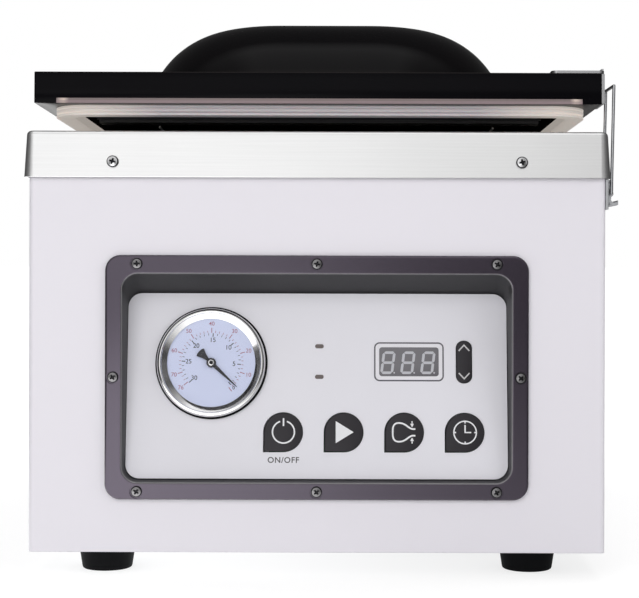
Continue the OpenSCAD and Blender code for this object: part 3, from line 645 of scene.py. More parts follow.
# Plain lettering as a thin mesh, centred on a place
def lettering(text, size, matrix, shape, mark, bold, spread=1.0):
    curve = bpy.data.curves.new("lettering", "FONT")
    curve.body = text
    curve.size = size * mm
    curve.extrude = mm / 2
    curve.offset = bold * mm
    curve.space_character = spread
    curve.align_x = "CENTER"
    curve.align_y = "CENTER"
    words = addObject("lettering", curve)
    mesh = resolved(words).to_mesh()
    points = [(v.co.x / mm, v.co.y / mm, v.co.z / mm) for v in mesh.vertices]
    shape.add(points, [tuple(p.vertices) for p in mesh.polygons], matrix, mark)
    bpy.data.objects.remove(words)
    bpy.data.curves.remove(curve)


# Camera and light come first, then the pieces

camera = {
    "place": (0.0136, -1.140, 0.180), "focalPixels": 1585.0, "pictureWidth": 639.0, "pictureHeight": 598.0,
    "centreX": 341.0, "centreY": 263.0, "roll": -0.17,
}
cameraData = bpy.data.cameras.new("camera")
cameraObject = addObject("camera", cameraData)
cameraObject.location = camera["place"]
cameraObject.rotation_euler = (math.radians(90), math.radians(camera["roll"]), 0)
cameraData.sensor_width = 36.0
cameraData.lens = camera["focalPixels"] / camera["pictureWidth"] * cameraData.sensor_width
cameraData.shift_x = (camera["pictureWidth"] / 2 - camera["centreX"]) / camera["pictureWidth"]
cameraData.shift_y = (camera["centreY"] - camera["pictureHeight"] / 2) / camera["pictureWidth"]
scene.camera = cameraObject
scene.view_settings.view_transform = "Standard"

studioLights = {
    "frontBox": {"place": (-0.5, -2.0, 1.0), "aim": (0, 0, 0.17), "size": 1.6, "power": 17.5},
    "rightBox": {"place": (1.5, -1.2, 0.9), "aim": (0, 0, 0.2), "size": 1.0, "power": 5.0},
    "topBox": {"place": (0.0, 0.1, 1.7), "aim": (0, 0, 0.2), "size": 1.4, "power": 10.0},
    "rearBox": {"place": (0.2, 1.5, 1.1), "aim": (0, 0, 0.2), "size": 1.2, "power": 7.0},
}
for lampName, lamp in studioLights.items():
    lightData = bpy.data.lights.new(lampName, "AREA")
    lightData.energy = lamp["power"]
    lightData.size = lamp["size"]
    light = addObject(lampName, lightData)
    light.location = lamp["place"]
    light.visible_glossy = False
    aim = Vector(lamp["aim"]) - Vector(lamp["place"])
    light.rotation_euler = aim.to_track_quat("-Z", "Y").to_euler()

# Mirrors see a studio of their own: levels from left to right, near the horizon, raised and overhead
surroundings = {
    "level": 0.40, "behind": 0.07,
    "horizon": [(0.0, 0.05), (0.28, 0.1), (0.34, 0.8), (0.42, 0.95), (0.46, 0.5), (0.5, 0.3), (0.55, 0.08),
                (0.65, 0.04), (0.77, 0.05), (0.8, 0.5), (0.86, 0.5), (0.9, 0.05)],
    "raised": [(0.0, 0.07), (0.1, 0.12), (0.2, 0.4), (0.3, 0.61), (0.45, 0.71), (0.52, 0.71), (0.58, 0.47),
               (0.7, 0.3), (0.9, 0.12), (1.0, 0.06)],
    "overhead": [(0.0, 0.1), (0.25, 0.3), (0.35, 0.65), (0.65, 0.65), (0.75, 0.3), (1.0, 0.1)],
    "toRaised": [(0.03, 0.0), (0.12, 1.0)], "toOverhead": [(0.6, 0.0), (0.8, 1.0)],
    "fading": [(0.4, 1.0), (0.5, 0.6)], "toFront": [(0.5, 1.0), (0.62, 0.0)],
}
world = bpy.data.worlds.new("studio")
scene.world = world
world.use_nodes = True
sky = Finish.__new__(Finish)
sky.tree = world.node_tree
backdropLight = world.node_tree.nodes["Background"]
direction = sky.add("TexCoord", output=0)
sideways, depthways, upward = [sky.add("SeparateXYZ", {}, {0: direction}, index) for index in range(3)]
horizon, raised, overhead = [sky.ramp(sideways * 0.5 + 0.5, surroundings[zone]) * 2
                             for zone in ("horizon", "raised", "overhead")]
toRaised, toOverhead, fading = [sky.ramp(upward, surroundings[zone])
                                for zone in ("toRaised", "toOverhead", "fading")]
ahead = horizon * (1 - toRaised) + toRaised * (raised * fading * (1 - toOverhead) + overhead * toOverhead)
toFront = sky.ramp(depthways * 0.5 + 0.5, surroundings["toFront"])
mirrored = ahead * toFront + (1 - toFront) * surroundings["behind"]
seen, glossy, through = [sky.add("LightPath", output=index) for index in (0, 3, 6)]
strength = seen.atLeast(through)
plainLevel = (1 - glossy) * surroundings["level"] + glossy * mirrored
sky.feed(backdropLight.inputs["Color"], (1.0, 1.0, 1.0))
sky.feed(backdropLight.inputs["Strength"], strength + (1 - strength) * plainLevel)

# The floor is lit white for the camera away from the machine; mirrors see it brighter on the left
floorSettings = {
    "color": (0.76, 0.76, 0.76), "white": 1.25, "whiteFrom": [(0.26, 0.6), (0.55, 1.0)],
    "mirrored": [(0.0, 0.05), (0.2, 0.15), (0.27, 0.8), (0.33, 0.85), (0.425, 0.87), (0.48, 0.7),
                 (0.525, 0.43), (0.57, 0.27), (0.65, 0.12), (0.73, 0.06), (1.0, 0.03)],
}
floorFinish = Finish("paleFloor")
grain = floorFinish.noise(4.0)
floorFinish.dress({
    "Base Color": floorFinish.blend(grain, floorSettings["color"], tint(floorSettings["color"], 1.02)),
    "Roughness": 0.85,
    "Specular IOR Level": 0.1,
})
floorX, floorY = floorFinish.axis("X"), floorFinish.axis("Y")
floorSeen, floorMirrored = floorFinish.add("LightPath", output=0), floorFinish.add("LightPath", output=3)
toWhite = floorFinish.ramp((floorX ** 2 + floorY ** 2) ** 0.5, floorSettings["whiteFrom"])
mirrorLevel = floorFinish.ramp(floorX * 0.5 + 0.5, floorSettings["mirrored"]) * 3
glow = floorSeen * floorSettings["white"] + floorMirrored * mirrorLevel
floorGlow = floorFinish.add("Emission", {}, {"Color": glow})
floorMix = floorFinish.add("MixShader", {}, {
    0: floorSeen * toWhite + floorMirrored,
    1: Value(floorFinish, floorFinish.shader.outputs[0]),
    2: floorGlow})
floorFinish.tree.links.new(floorMix.socket, floorFinish.tree.nodes["Material Output"].inputs["Surface"])
floorMesh = newMesh("floor", [(-30, -8, 0), (30, -8, 0), (30, 60, 0), (-30, 60, 0)], [(0, 1, 2, 3)])
floorMesh.materials.append(floorFinish.material)
floor = addObject("floor", floorMesh)
print("camera and light done")


# Lid: acrylic plate with a formed dome, a groove below for the gasket

lid = {
    "plate": (324.8, 410.0, 1.0, 0.2, -29.0), "groove": (310.6, 388.0, 22.0, 1.0, -32.0),
    "dome": (116.0, 180.0, 30.0, 3.7, -35.0), "underZ": 261.0, "thick": 18.0, "edge": 0.4,
    "shoulder": 60.0, "domeHeight": 44.5, "wall": 5.0, "footFillet": 5.0, "innerSteps": 17, "outerSteps": 26,
    "grooveWide": 9.0, "grooveDeep": 5.0, "grooveIn": 1.0, "mouthIn": 2.0, "steepness": 0.94,
}


def lidLoop(zone, grow, z):
    return zoneLoop(lid[zone], grow, z, 24)


def domeRound(radius, angle, summit):
    return lidLoop("dome", radius * math.sin(angle), summit - radius * (1 - math.cos(angle)))


def buildLid():
    under, edge, shoulder = lid["underZ"], lid["edge"], lid["shoulder"]
    top = under + lid["thick"]
    crown = top + lid["domeHeight"]
    inner = shoulder - lid["wall"]
    innerReach = math.sqrt(inner ** 2 - (shoulder - lid["domeHeight"]) ** 2)
    innerSteps, outerSteps = lid["innerSteps"], lid["outerSteps"]
    # inside of the dome, from its crown down
    loops = [domeRound(inner, math.asin(innerReach / inner) * step / innerSteps, crown - lid["wall"])
             for step in range(innerSteps + 1)]
    mouth, near = innerReach - lid["mouthIn"], lid["grooveIn"]
    deep, far, cut = under + lid["grooveDeep"], near + lid["grooveWide"], edge * 0.3
    underRow = len(loops) + 3
    # the mouth, the groove and the plate's edge
    loops += [lidLoop("dome", grow, z) for grow, z in (
        (mouth + 0.6, top - 0.4), (mouth, top - 2), (mouth, under + 1), (mouth + 1, under))]
    loops += [lidLoop("groove", -inset, z) for inset, z in (
        (far, under), (far, deep), (near, deep), (near, under))]
    loops += [lidLoop("plate", -inset, z) for inset, z in (
        (edge, under), (cut, under + cut), (0, under + edge), (0, top - edge), (cut, top - cut), (edge, top))]
    outerAngle = math.asin(math.sqrt(shoulder ** 2 - (shoulder - lid["domeHeight"]) ** 2) / shoulder)
    footReach = shoulder * math.sin(outerAngle)
    steepest = outerAngle * lid["steepness"]
    start, corner = Vector((footReach + lid["footFillet"], top)), Vector((footReach + 0.6, top))
    end = Vector((shoulder * math.sin(steepest), crown - shoulder * (1 - math.cos(steepest))))
    # a hollow round where the dome leaves the plate
    for step in range(6):
        t = step / 6
        loops.append(lidLoop("dome", *(start * (1 - t) ** 2 + corner * 2 * t * (1 - t) + end * t ** 2)))
    loops += [domeRound(shoulder, steepest * step / outerSteps, crown) for step in range(outerSteps, -1, -1)]
    rows = [0] * (len(loops) - 1)
    # the flat underside inside the groove, painted black as shade, and outside it, painted lighter as a
    # reflection; then the plate's upright faces and lower edge
    rows[underRow] = 3
    rows[underRow + 4:underRow + 8] = [1, 2, 2, 2]
    marks = [mark for mark in rows for step in loops[0]] + [0, 0]
    shell = Shape()
    shell.add(*loft(loops), lidMatrix, marks)
    piece = shell.piece("lidShell", "lid", "lidAcrylic lidUnder lidFace lidInner", 40, "smoked_acrylic")
    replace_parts(piece, "lid")


buildLid()

gasket = {
    "ring": (310.6, 388.0, 22.0, 1.0, -32.0), "underZ": 261.0, "half": 5.5, "neck": 4.3, "root": 4.9,
    "inner": [(-4.5, -0.02), (-4.5, -3.0), (-5.3, -4.6), (-5.4, -5.4), (-4.9, -5.9), (4.6, -5.9)],
    "noses": [(5.45, -5.6, -4.8, 0.3), (5.45, -3.3, -2.05, 0.35), (5.45, -1.2, -0.35, 0.35)],
    "valleys": [[(3.2, -4.15)], [(4.75, -1.62)], []],
}


def buildGasket():
    neck, root = gasket["neck"], gasket["root"]
    section = [(-neck, root), (-neck, 0.0)] + gasket["inner"]
    # three lips reach outward, each with a rounded nose
    for (x, low, high, nose), valley in zip(gasket["noses"], gasket["valleys"]):
        for level, turns in ((low, (-90, -45, 0)), (high, (0, 45, 90))):
            section += [(x - nose + a, level + b) for a, b in [around(turn, nose) for turn in turns]]
        section += valley
    section += [(neck, 0.0), (neck, root)]
    path = [Vector(spot) for spot in zoneLoop(gasket["ring"], -gasket["half"], gasket["underZ"], 14)]
    loops = []
    for i, spot in enumerate(path):
        run = (path[(i + 1) % len(path)] - path[i - 1]).normalized()
        loops.append([spot + Vector((run.y * s, -run.x * s, z)) for s, z in section])
    shape = Shape()
    shape.add(*loft(loops + loops[:1], False, False), lidMatrix)
    piece = shape.piece("gasketRing", "lid", "gasketSilicone", 50, "gasket_silicone")
    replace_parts(piece, "lid_gasket")


buildGasket()
print("lid done")


# Screws: pan heads with a cross recess, one mesh for each node of screws

# Parts of the head's radius and height
screwForm = {
    "foot": 0.98, "round": 0.18, "shoulder": 0.35, "rise": 0.52, "rim": 0.62, "rimHeight": 0.93,
    "arm": 0.52, "armHalf": 0.13, "recess": 0.55, "recessHeight": 0.25, "steps": 40,
}


def crossScrew(headRadius, headHeight, shankRadius, shankLength):
    form, steps = screwForm, screwForm["steps"]
    profile = [(0.0001, -shankLength), (shankRadius, -shankLength), (shankRadius, 0),
               (headRadius * form["foot"], 0)]
    for x, y in [around(15 * step, 1) for step in range(7)]:
        profile.append((headRadius * (1 - form["round"] * (1 - x)),
                        headHeight * (form["shoulder"] + form["rise"] * y)))
    rimRadius, rimHeight = headRadius * form["rim"], headHeight * form["rimHeight"]
    profile.append((rimRadius, rimHeight))
    # the round of the head is painted dark as shade, its flat top bright
    rows = [0] * 3 + [1] * 7 + [0]
    marks = [mark for mark in rows for step in range(steps)]
    # the crown is a disc with a cross cut into it, built as rings of a clover outline
    arm, half = headRadius * form["arm"], headRadius * form["armHalf"]
    clover, corners = [], [(arm, -half), (arm, half), (half * 1.5, half * 1.5)]
    for quarter in range(4):
        clover += corners
        corners = [(-y, x) for x, y in corners]
    rim = [(*(Vector(spot).normalized() * rimRadius), rimHeight) for spot in clover]
    recess, deep = form["recess"], headHeight * form["recessHeight"]
    loops = [rim, [(x, y, headHeight) for x, y in clover],
             [(x * recess, y * recess, deep) for x, y in clover]]
    # painted shade: the walls and floor of the cross recess take the dark finish
    crownMarks = [0] * len(clover) + [1] * (len(clover) + 1)
    return (*lathe(profile, steps), marks), (*loft(loops, False, True), crownMarks)


# sizes: head radius and height, shank radius and length
def screwSet(name, nodeName, body, places, sizes, metal="screwSteel"):
    random.seed(sum(map(ord, nodeName)))
    shape = Shape()
    for place in places:
        turned = place @ Matrix.Rotation(random.uniform(0, math.pi / 2), 4, "Z")
        for points, faces, marks in crossScrew(*sizes):
            shape.add(points, faces, turned, marks)
    piece = shape.piece(name, body, metal + " blackAnodised", 38, "plated_steel")
    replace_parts(piece, nodeName)


bezel = {
    "outside": (241.0, 139.0, 9.0, 0.0, 114.75), "mouth": (221.5, 118.3, 9.0, 0.0, 114.3),
    "panel": (219.0, 106.7, 8.0, 0.0, 53.35), "thick": 3.0, "frontY": 240.0, "edge": 1.2, "lip": 1.0,
    "flat": 0.12, "middle": 114.75, "screwY": 238.8, "counterbore": 3.9, "boreDeep": 4,
    "screws": [(0, 64.6), (102.4, 64.6), (-102.4, 64.6), (116, 0), (-116, 0), (0, -65), (102.4, -65),
               (-102.4, -65)],
}
bezelPlaces = [shifted(frontMatrix, x, z + bezel["middle"], bezel["screwY"]) for x, z in bezel["screws"]]
screwSet("bezelScrews", "bezel_screws", "base", bezelPlaces, (3.15, 1.5, 1.5, 7), "bezelScrewSteel")

apron = {"lean": math.atan(1.5 / 24), "height": 237.3, "frontY": 239.45, "sideX": 166.95, "screwX": 116.3,
         "screwY": 120.0}
deckPlaces = [shifted(frontMatrix, side * apron["screwX"], apron["height"], apron["frontY"]) @
              Matrix.Rotation(-apron["lean"], 4, "X") for side in (-1, 1)]
for side in (-1, 1):
    turned = Matrix.Rotation(side * (math.radians(90) - apron["lean"]), 4, "Y")
    deckPlaces += [shifted(origin, side * apron["sideX"], along * apron["screwY"], apron["height"]) @ turned
                   for along in (-1, 1)]
screwSet("deckScrews", "deck_screws", "base", deckPlaces, (3.4, 1.95, 1.8, 5))
print("screws done")


# Bezel: glossy frame, rounded lip, walls that run back to the leaning floor

def bezelLoop(zone, grow, depth):
    matrix = panelMatrix if zone == "panel" else frontMatrix
    return [matrix @ (Vector(spot) * mm) / mm for spot in zoneLoop(bezel[zone], grow, depth, 14)]


def buildBezel():
    edge, front, lip, flat = bezel["edge"], bezel["frontY"], bezel["lip"], bezel["flat"]
    rounds = [around(18 * step, 1) for step in range(6)]
    loops = [bezelLoop("panel", 2, -2.9), bezelLoop("mouth", 2, front - bezel["thick"]),
             bezelLoop("outside", 0, front - bezel["thick"])]
    loops += [bezelLoop("outside", edge * (x - 1), front - edge + edge * y) for x, y in rounds]
    # a narrow loop keeps the face flat beside each round
    loops += [bezelLoop("outside", -edge - flat, front), bezelLoop("mouth", lip + flat, front)]
    loops += [bezelLoop("mouth", lip * (1 - y), front - lip + lip * x) for x, y in rounds]
    faceRows = len(loops) - 1
    loops += [bezelLoop("panel", *place) for place in ((0, -0.9), (0, -1.05), (2, -2.9))]
    rows = [0] * faceRows + [1] * (len(loops) - 1 - faceRows)
    # a dark line of painted shade round the outside, a lighter one round the lip as a painted highlight
    rows[1:5] = [1] * 4
    rows[faceRows - 4:faceRows - 1] = [2] * 3
    shape = Shape()
    shape.add(*loft(loops, False, False), None, [mark for mark in rows for step in loops[0]])
    frame = shape.piece("bezelFrame", "base", "bezelPlastic bezelWall bezelLip", 50, "bezel_plastic")
    holes = Shape()
    wide, deep = bezel["counterbore"], bezel["boreDeep"]
    for place in bezelPlaces:
        holes.add(*lathe([(0, 0), (wide, 0), (wide, deep), (0, deep)], 40), place)
    carve(frame, holes, 50)
    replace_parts(frame, "bezel")


buildBezel()
print("bezel done")


# Panel pieces: keys with their signs, rocker, lamps, display

keys = {
    "radius": 11.0, "corner": 0.5, "top": 0.8, "back": -4.2, "edge": 0.35, "firstX": -19.1, "pitch": 34.7,
    "height": 26.7,
}


# A disc with one square corner, low on the left
def keyOutline(inset):
    radius, corner = keys["radius"] - inset, keys["corner"]
    return arc(0, 0, radius, -90, 180, 60) + arc(corner - radius, corner - radius, corner, 180, 270, 4)


def powerSign(draw):
    draw(ribbon(arc(0, 0, 6.3, 108, 432, 56), 0.85))
    draw(plate([(-0.45, 3.4), (0.45, 3.4), (0.45, 7.9), (-0.45, 7.9)]))


def startSign(draw):
    draw(plate([(-4.75, -6.3), (5.55, 0), (-4.75, 6.3)]))


# A bag lying on its side, its neck pressed between two wedges
def sealSign(draw):
    side = [(6.2, 1.9), (4.2, 1.95), (2.4, 2.9), (0.6, 4.2), (-1.4, 5.1), (-3.8, 5.3), (-5.6, 4.6),
            (-6.6, 2.8), (-6.8, 0)]
    smooth = []
    for i in range(len(side) - 1):
        four = [side[max(0, i - 1)], side[i], side[i + 1], side[min(len(side) - 1, i + 2)]]
        for t in (0, 0.2, 0.4, 0.6, 0.8):
            smooth.append(tuple(
                0.5 * (2 * b + (c - a) * t + (2 * a - 5 * b + 4 * c - d) * t ** 2
                       + (3 * b - a - 3 * c + d) * t ** 3) for a, b, c, d in zip(*four)))
    draw(ribbon(smooth + [side[-1]] + mirroredBack(smooth), 0.95))
    neck, wedge, stem = 4.3, 1.1, 0.3
    for up in (1, -1):
        draw(plate([(neck - up * wedge, up * 4.9), (neck + up * wedge, up * 4.9), (neck, up * 2.9)]))
        left, right = neck - up * stem, neck + up * stem
        draw(plate([(left, up * 6.4), (right, up * 6.4), (right, up * 4.9), (left, up * 4.9)]))


def clockSign(draw):
    draw(ribbon(arc(0, 0, 6.45, 0, 360, 64)[:-1], 0.75, True))
    for turn in range(4):
        draw(ribbon([around(90 * turn, 5.2), around(90 * turn, 6.2)], 0.8))
    draw(ribbon([(0, 4.3), (0, 0), (3.5, 0)], 0.8))


def buildKeys():
    signs = {"power": powerSign, "start": startSign, "seal": sealSign, "set": clockSign}
    for index, (sign, drawSign) in enumerate(signs.items()):
        nodeName = "key_" + sign
        centre = shifted(panelMatrix, keys["firstX"] + index * keys["pitch"], keys["height"])
        shape = Shape()
        shape.add(*slab(keyOutline, keys["back"], keys["top"], keys["edge"]), centre)
        drawSign(lambda parts: shape.add(*parts, inkOn(centre, keys["top"]), 1))
        piece = shape.piece(sign + "Key", sign + "_key", "keyPlastic inkWhite", 40, "key_plastic")
        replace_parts(piece, nodeName)


buildKeys()

rocker = {
    "x": 84.7, "y": 67.15, "width": 9.0, "height": 24.3, "top": 0.8, "back": -4.5, "edge": 0.6,
    "stroke": 0.75, "arrowX": 3.05, "arrowLow": 6.4, "arrowHigh": 9.7,
}


def buildRocker():
    centre = shifted(panelMatrix, rocker["x"], rocker["y"])
    shape = Shape()
    pill = insetLoop(rocker["width"], rocker["height"], rocker["width"] / 2 - 0.01, 16)
    shape.add(*slab(pill, rocker["back"], rocker["top"], rocker["edge"]), centre)
    for up in (1, -1):
        low, high = up * rocker["arrowLow"], up * rocker["arrowHigh"]
        arrow = [(-rocker["arrowX"], low), (0, high), (rocker["arrowX"], low)]
        shape.add(*ribbon(arrow, rocker["stroke"]), inkOn(centre, rocker["top"]), 1)
    piece = shape.piece("rockerKey", "rocker", "keyPlastic inkSilver", 40, "key_plastic")
    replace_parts(piece, "rocker_key")


buildRocker()

lamps = {"x": 1.3, "heights": [76.0, 58.4], "width": 5.0, "height": 2.4, "corner": 1.15, "top": 0.45,
         "back": -3.0, "edge": 0.35}


def buildLamps():
    shape = Shape()
    outline = insetLoop(lamps["width"], lamps["height"], lamps["corner"], 8, 0.9)
    for height in lamps["heights"]:
        place = shifted(panelMatrix, lamps["x"], height)
        shape.add(*slab(outline, lamps["back"], lamps["top"], lamps["edge"]), place)
    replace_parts(shape.piece("ledLenses", "base", "lensPlastic", 40, "lens_plastic"), "led_lenses")


buildLamps()

display = {
    "x": 52.95, "y": 67.2, "width": 34.3, "height": 16.7, "corner": 1.6, "top": 0.25, "back": -3.4,
    "edge": 0.2,
    "frameWidth": 39.4, "frameHeight": 21.7, "frameCorner": 2.8, "frameLine": 0.85,
    "digitX": [-12.1, -0.6, 10.9], "digitY": -0.55, "digitWidth": 6.0, "digitHeight": 11.6, "slant": 0.13,
    "stroke": 1.5, "gap": 0.12,
}


# Seven flat strokes and a point, leaning to the right as one character
def segmentDigit(shape, matrix, mark):
    wide, tall, slant = display["digitWidth"] / 2, display["digitHeight"] / 2, display["slant"]
    half = display["stroke"] / 2
    strokes = [(0, level, wide, True) for level in (-tall, 0, tall)]
    strokes += [(side, middle, tall / 2, False) for side in (-wide, wide) for middle in (-tall / 2, tall / 2)]
    for x, y, reach, level in strokes:
        inner = reach - half - display["gap"]
        end = inner + half
        bar = [(-end, 0), (-inner, half), (inner, half), (end, 0), (inner, -half), (-inner, -half)]
        bar = [(x + a, y + b) if level else (x + b, y + a) for a, b in bar]
        shape.add(*plate([(a + b * slant, b) for a, b in bar]), matrix, mark)
    shape.add(*plate(arc(wide + 1.35 - tall * slant, -tall, 0.5, 0, 345, 15)), matrix, mark)


def buildDisplay():
    centre = shifted(panelMatrix, display["x"], display["y"])
    shape = Shape()
    window = insetLoop(display["width"], display["height"], display["corner"], 8)
    shape.add(*slab(window, display["back"], display["top"], display["edge"]), centre)
    for x in display["digitX"]:
        segmentDigit(shape, shifted(inkOn(centre, display["top"]), x, display["digitY"]), 1)
    piece = shape.piece("displayWindow", "base", "displayLens segmentGrey", 40, "display_lens")
    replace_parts(piece, "display_window")


buildDisplay()

label = {"height": 10.6, "size": 4.6, "bold": 0.09, "spread": 1.12}


# What is printed on the panel: the line round the display and the label under the first key
def buildPrint():
    onFace = inkOn(panelMatrix, 0, 0.02, -0.004)
    shape = Shape()
    width, height, line = display["frameWidth"], display["frameHeight"], display["frameLine"]
    centre = shifted(onFace, display["x"], display["y"])
    shape.add(*ribbon(roundedLoop(width, height, display["frameCorner"]), line, True), centre)
    inner = roundedLoop(width - line, height - line, display["frameCorner"] - 0.3)
    shape.add(*plate(inner, -0.5, 0.5), centre, 1)
    labelPlace = shifted(onFace, keys["firstX"], label["height"], 0.5)
    lettering("ON/OFF", label["size"], labelPlace, shape, 2, label["bold"], label["spread"])
    shape.piece("panelPrint", "base", "inkGrey filmPale inkLabel", 40, "overlay")


buildPrint()
print("panel done")


# Gauge: chrome ring with a sloping inner wall, printed dial, pointer, lens

gauge = {
    "x": -60.9, "y": 66.2, "lensRadius": 28.3, "lensLow": 4.75, "lensTop": 5.5,
    "dialRadius": 28.6, "dialBore": 2.2, "dialTop": 1.6, "dialThick": 0.6, "arcRadius": 17.2,
    "redStart": -54.0, "redStep": 3.6, "redTop": 76, "blackStart": -48.0, "blackStep": 9.0, "blackTop": 30,
    "numberOut": 22.5, "numberIn": 13.1, "zeroIn": 19.4, "numberSize": 3.5, "tip": 20.4, "angle": -43.0,
    "ring": [(28.9, 0.02), (31.1, 0.02), (31.3, 0.2), (31.3, 3.1), (31.2, 4.1), (30.9, 4.9), (30.4, 5.5),
             (29.9, 5.9), (29.4, 6.1), (29.05, 6.08), (28.75, 5.9), (28.55, 5.55), (28.45, 4.9), (28.2, 4.7),
             (25.6, 2.85), (25.4, 2.65), (25.4, 1.63), (28.9, 1.63)],
    "flange": [(31.0, 0.02), (32.3, 0.02), (32.35, 0.3), (32.3, 0.9), (32.0, 1.3), (31.6, 1.5), (31.0, 1.5)],
}
gaugeMatrix = shifted(panelMatrix, gauge["x"], gauge["y"])


def buildGaugeRing():
    shape = Shape()
    shape.add(*hoop(gauge["ring"], 128), gaugeMatrix)
    shape.add(*hoop(gauge["flange"], 128), gaugeMatrix, 1)
    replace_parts(shape.piece("gaugeRing", "base", "chrome footRubber", 32, "chrome_ring"), "gauge_bezel")


# Two scales back to back: marked outside the arc and inside it
def buildDial():
    shape = Shape()
    top, ring, radius, bore = gauge["dialTop"], gauge["arcRadius"], gauge["dialRadius"], gauge["dialBore"]
    low = top - gauge["dialThick"]
    shape.add(*hoop([(bore, low), (radius, low), (radius, top), (bore, top)], 96), gaugeMatrix)
    inkPlace = inkOn(gaugeMatrix, top, 0.02, -0.002)

    def tick(angle, length, width, mark):
        ends = [around(angle, ring + math.copysign(0.15, length)), around(angle, ring + length)]
        shape.add(*ribbon(ends, width), inkPlace, mark)

    def number(angle, out, value, size, mark, bold):
        place = shifted(inkPlace, *around(angle, out), 0.5)
        lettering(str(value), gauge["numberSize"] * size, place, shape, mark, bold)

    for value in range(gauge["redTop"] + 1):
        angle = gauge["redStart"] + gauge["redStep"] * value
        if value % 10 == 0 or value == gauge["redTop"]:
            tick(angle, 3.0, 0.45, 2)
            if value:
                number(angle, gauge["numberOut"], value, 0.95, 2, 0.02)
        elif value % 2 == 0:
            tick(angle, 1.4, 0.28, 2)
    for value in range(gauge["blackTop"] + 1):
        angle = gauge["blackStart"] + gauge["blackStep"] * value
        if value % 5:
            tick(angle, -1.4, 0.3, 1)
        else:
            tick(angle, -2.2, 0.5, 1)
            number(angle, gauge["numberIn" if value else "zeroIn"], value, 1.05 if value else 0.8, 1, 0.03)
    piece = shape.piece("gaugeDial", "base", "dialPaint inkBlack inkRed", 40, "dial_white")
    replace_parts(piece, "gauge_dial")


def buildPointer():
    turned = shifted(gaugeMatrix, turn=gauge["angle"])
    shape = Shape()
    low, high = gauge["dialTop"] + 0.75, gauge["dialTop"] + 1.2
    needle = [(0, -1.15), (4, -1.05), (12, -0.62), (18.6, -0.3), (gauge["tip"], -0.1)]
    shape.add(*plate(needle + mirroredBack(needle), low, high), turned)
    tail = [(-1.5, 0.8), (-3.4, 1.0), (-5.6, 1.6), (-7.4, 2.4), (-8.6, 3.0), (-8.95, 2.75), (-9.4, 1.6)]
    shape.add(*plate(tail + [(-9.55, 0)] + mirroredBack(tail), low, high), turned)
    hub = [(0.85, low - 0.05), (2.75, low - 0.05), (2.75, high + 0.5), (2.55, high + 0.75), (1.8, high + 0.8),
           (1.75, high + 0.5), (1.1, high + 0.5), (1.05, high + 0.65), (0.85, high + 0.65)]
    shape.add(*hoop(hub, 48), turned)
    collar = [(1.06, high + 0.45), (1.78, high + 0.45), (1.7, high + 0.6), (1.1, high + 0.7)]
    shape.add(*hoop(collar, 32), turned, 1)
    piece = shape.piece("gaugePointer", "pointer", "inkBlack screwSteel", 40, "pointer_black")
    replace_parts(piece, "gauge_pointer")


def buildLens():
    shape = Shape()
    low, top, radius = gauge["lensLow"], gauge["lensTop"], gauge["lensRadius"]
    section = [(0, low), (radius, low), (radius, top - 0.1), (radius - 0.3, top), (0, top)]
    shape.add(*lathe(section, 96), gaugeMatrix)
    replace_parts(shape.piece("gaugeLens", "base", "gaugeGlass", 40, "gauge_glass"), "gauge_lens")


buildGaugeRing()
buildDial()
buildPointer()
buildLens()
print("gauge done")


# Back, hinges and underside: screws, feet, springs

cover = {
    "screwX": 156.5, "heights": [21.0, 217.0], "outerY": 206.5, "hingeX": 110.0,
    "bracketY": 209.5, "bracketHeights": [186.0, 204.0], "armY": [112.0, 135.0, 158.0], "armTop": 283.0,
}


def facingBack(x, height, y):
    return shifted(origin, x, y, height) @ Matrix.Rotation(math.radians(-90), 4, "X")


coverPlaces = [facingBack(x, height, cover["outerY"]) for x in (-cover["screwX"], 0, cover["screwX"])
               for height in cover["heights"]]
bracketPlaces = [facingBack(side * cover["hingeX"], height, cover["bracketY"]) for side in (-1, 1)
                 for height in cover["bracketHeights"]]
armPlaces = [shifted(lidMatrix, side * cover["hingeX"], y, cover["armTop"]) for side in (-1, 1)
             for y in cover["armY"]]
screwSet("coverScrews", "cover_screws", "base", coverPlaces, (3.4, 2.0, 1.8, 3))
screwSet("bracketScrews", "bracket_screws", "base", bracketPlaces, (4.4, 2.6, 2.5, 6))
screwSet("armScrews", "arm_screws", "lid", armPlaces, (4.4, 2.6, 2.5, 4))

foot = {
    "places": [(x, y) for x in (-124, 124) for y in (-202, 168)],
    "section": [(6, 7), (6, 0.5), (6.5, 0), (8.4, 0), (8.8, 0.6), (9.6, 0.6), (10.0, 0), (11.6, 0),
                (12.0, 0.6), (12.8, 0.6), (13.2, 0), (13.8, 0.1), (14.4, 0.5), (14.7, 1.3), (16.4, 12.4),
                (16.8, 13.1), (16.9, 13.6), (16.9, 14.6), (16.6, 15), (2.6, 15), (2.6, 7)],
}


def buildFeet():
    shape = Shape()
    for x, y in foot["places"]:
        shape.add(*hoop(foot["section"], 72), shifted(origin, x, y))
    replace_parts(shape.piece("feet", "base", "footRubber", 32, "black_rubber"), "feet")


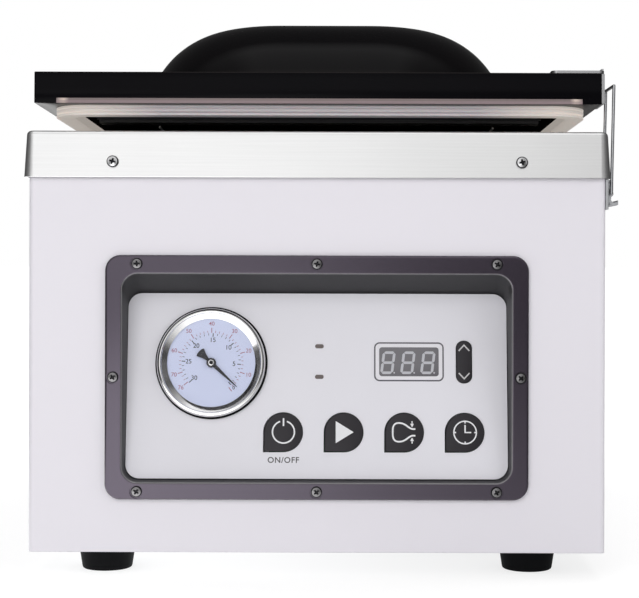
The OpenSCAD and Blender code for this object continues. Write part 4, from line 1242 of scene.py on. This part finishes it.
spring = {
    "x": 69.5, "radius": 7.0, "wire": 1.15, "coils": 12, "coilSteps": 28, "half": 15.6,
    "sleeveIn": 5.6, "sleeveOut": 5.82, "sleeveHalf": 16.0,
}


# Each coil is pinched a little closer at its ends, and wound on a sleeve
def buildSprings():
    shape = Shape()
    steps = spring["coils"] * spring["coilSteps"]
    inner, outer, half = spring["sleeveIn"], spring["sleeveOut"], spring["sleeveHalf"]
    for side in (-1, 1):
        along = Matrix.Translation((side * spring["x"] * mm, hinge.y, hinge.z))
        along = along @ Matrix.Rotation(math.radians(90), 4, "Y")
        route = []
        for i in range(steps + 1):
            pinch = min(1.0, i / 24, (steps - i) / 24)
            height = (2 * i / steps - 1) * (spring["half"] - spring["wire"]) * (0.985 + 0.015 * pinch)
            route.append((*around(360 * side * spring["coils"] * i / steps, spring["radius"]), height))
        shape.add(*tube(route, spring["wire"], 10), along)
        shape.add(*hoop([(inner, -half), (outer, -half), (outer, half), (inner, half)], 48), along)
    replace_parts(shape.piece("hingeSprings", "base", "springSteel", 50, "plated_steel"), "hinge_springs")


# levels: height and half width, up the bag
bladder = {
    "half": 100.0, "y": -188.0, "low": 203.0, "high": 230.0, "round": 9.0,
    "levels": [(0.0, 7.0), (0.6, 8.2), (1.6, 8.9), (4.0, 9.0), (6.4, 8.9), (7.4, 8.0), (7.9, 7.0), (8.2, 6.8),
               (8.6, 7.2), (9.4, 8.4), (11.0, 8.95), (14.0, 9.0), (18.0, 8.95), (20.2, 8.2), (21.4, 6.9),
               (21.9, 6.1), (22.4, 5.7), (23.0, 5.8), (24.4, 6.0), (26.2, 5.9), (27.0, 5.2)],
}


# Soft bellows under the seal bar, built as one fixed shape; on the machine it stretches as the bar rises
def buildBladder():
    loops = []
    for height, half in bladder["levels"]:
        outline = roundedLoop(2 * (bladder["half"] - bladder["round"] + half), 2 * half, half - 0.02)
        loops.append([(x, y + bladder["y"], bladder["low"] + height) for x, y in outline])
    shape = Shape()
    shape.add(*loft(loops))
    piece = shape.piece("bladder", None, "bladderRubber", 60, "black_rubber")
    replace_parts(piece, "bladder")
    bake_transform(piece)


buildFeet()
buildSprings()
buildBladder()
print("back and feet done")
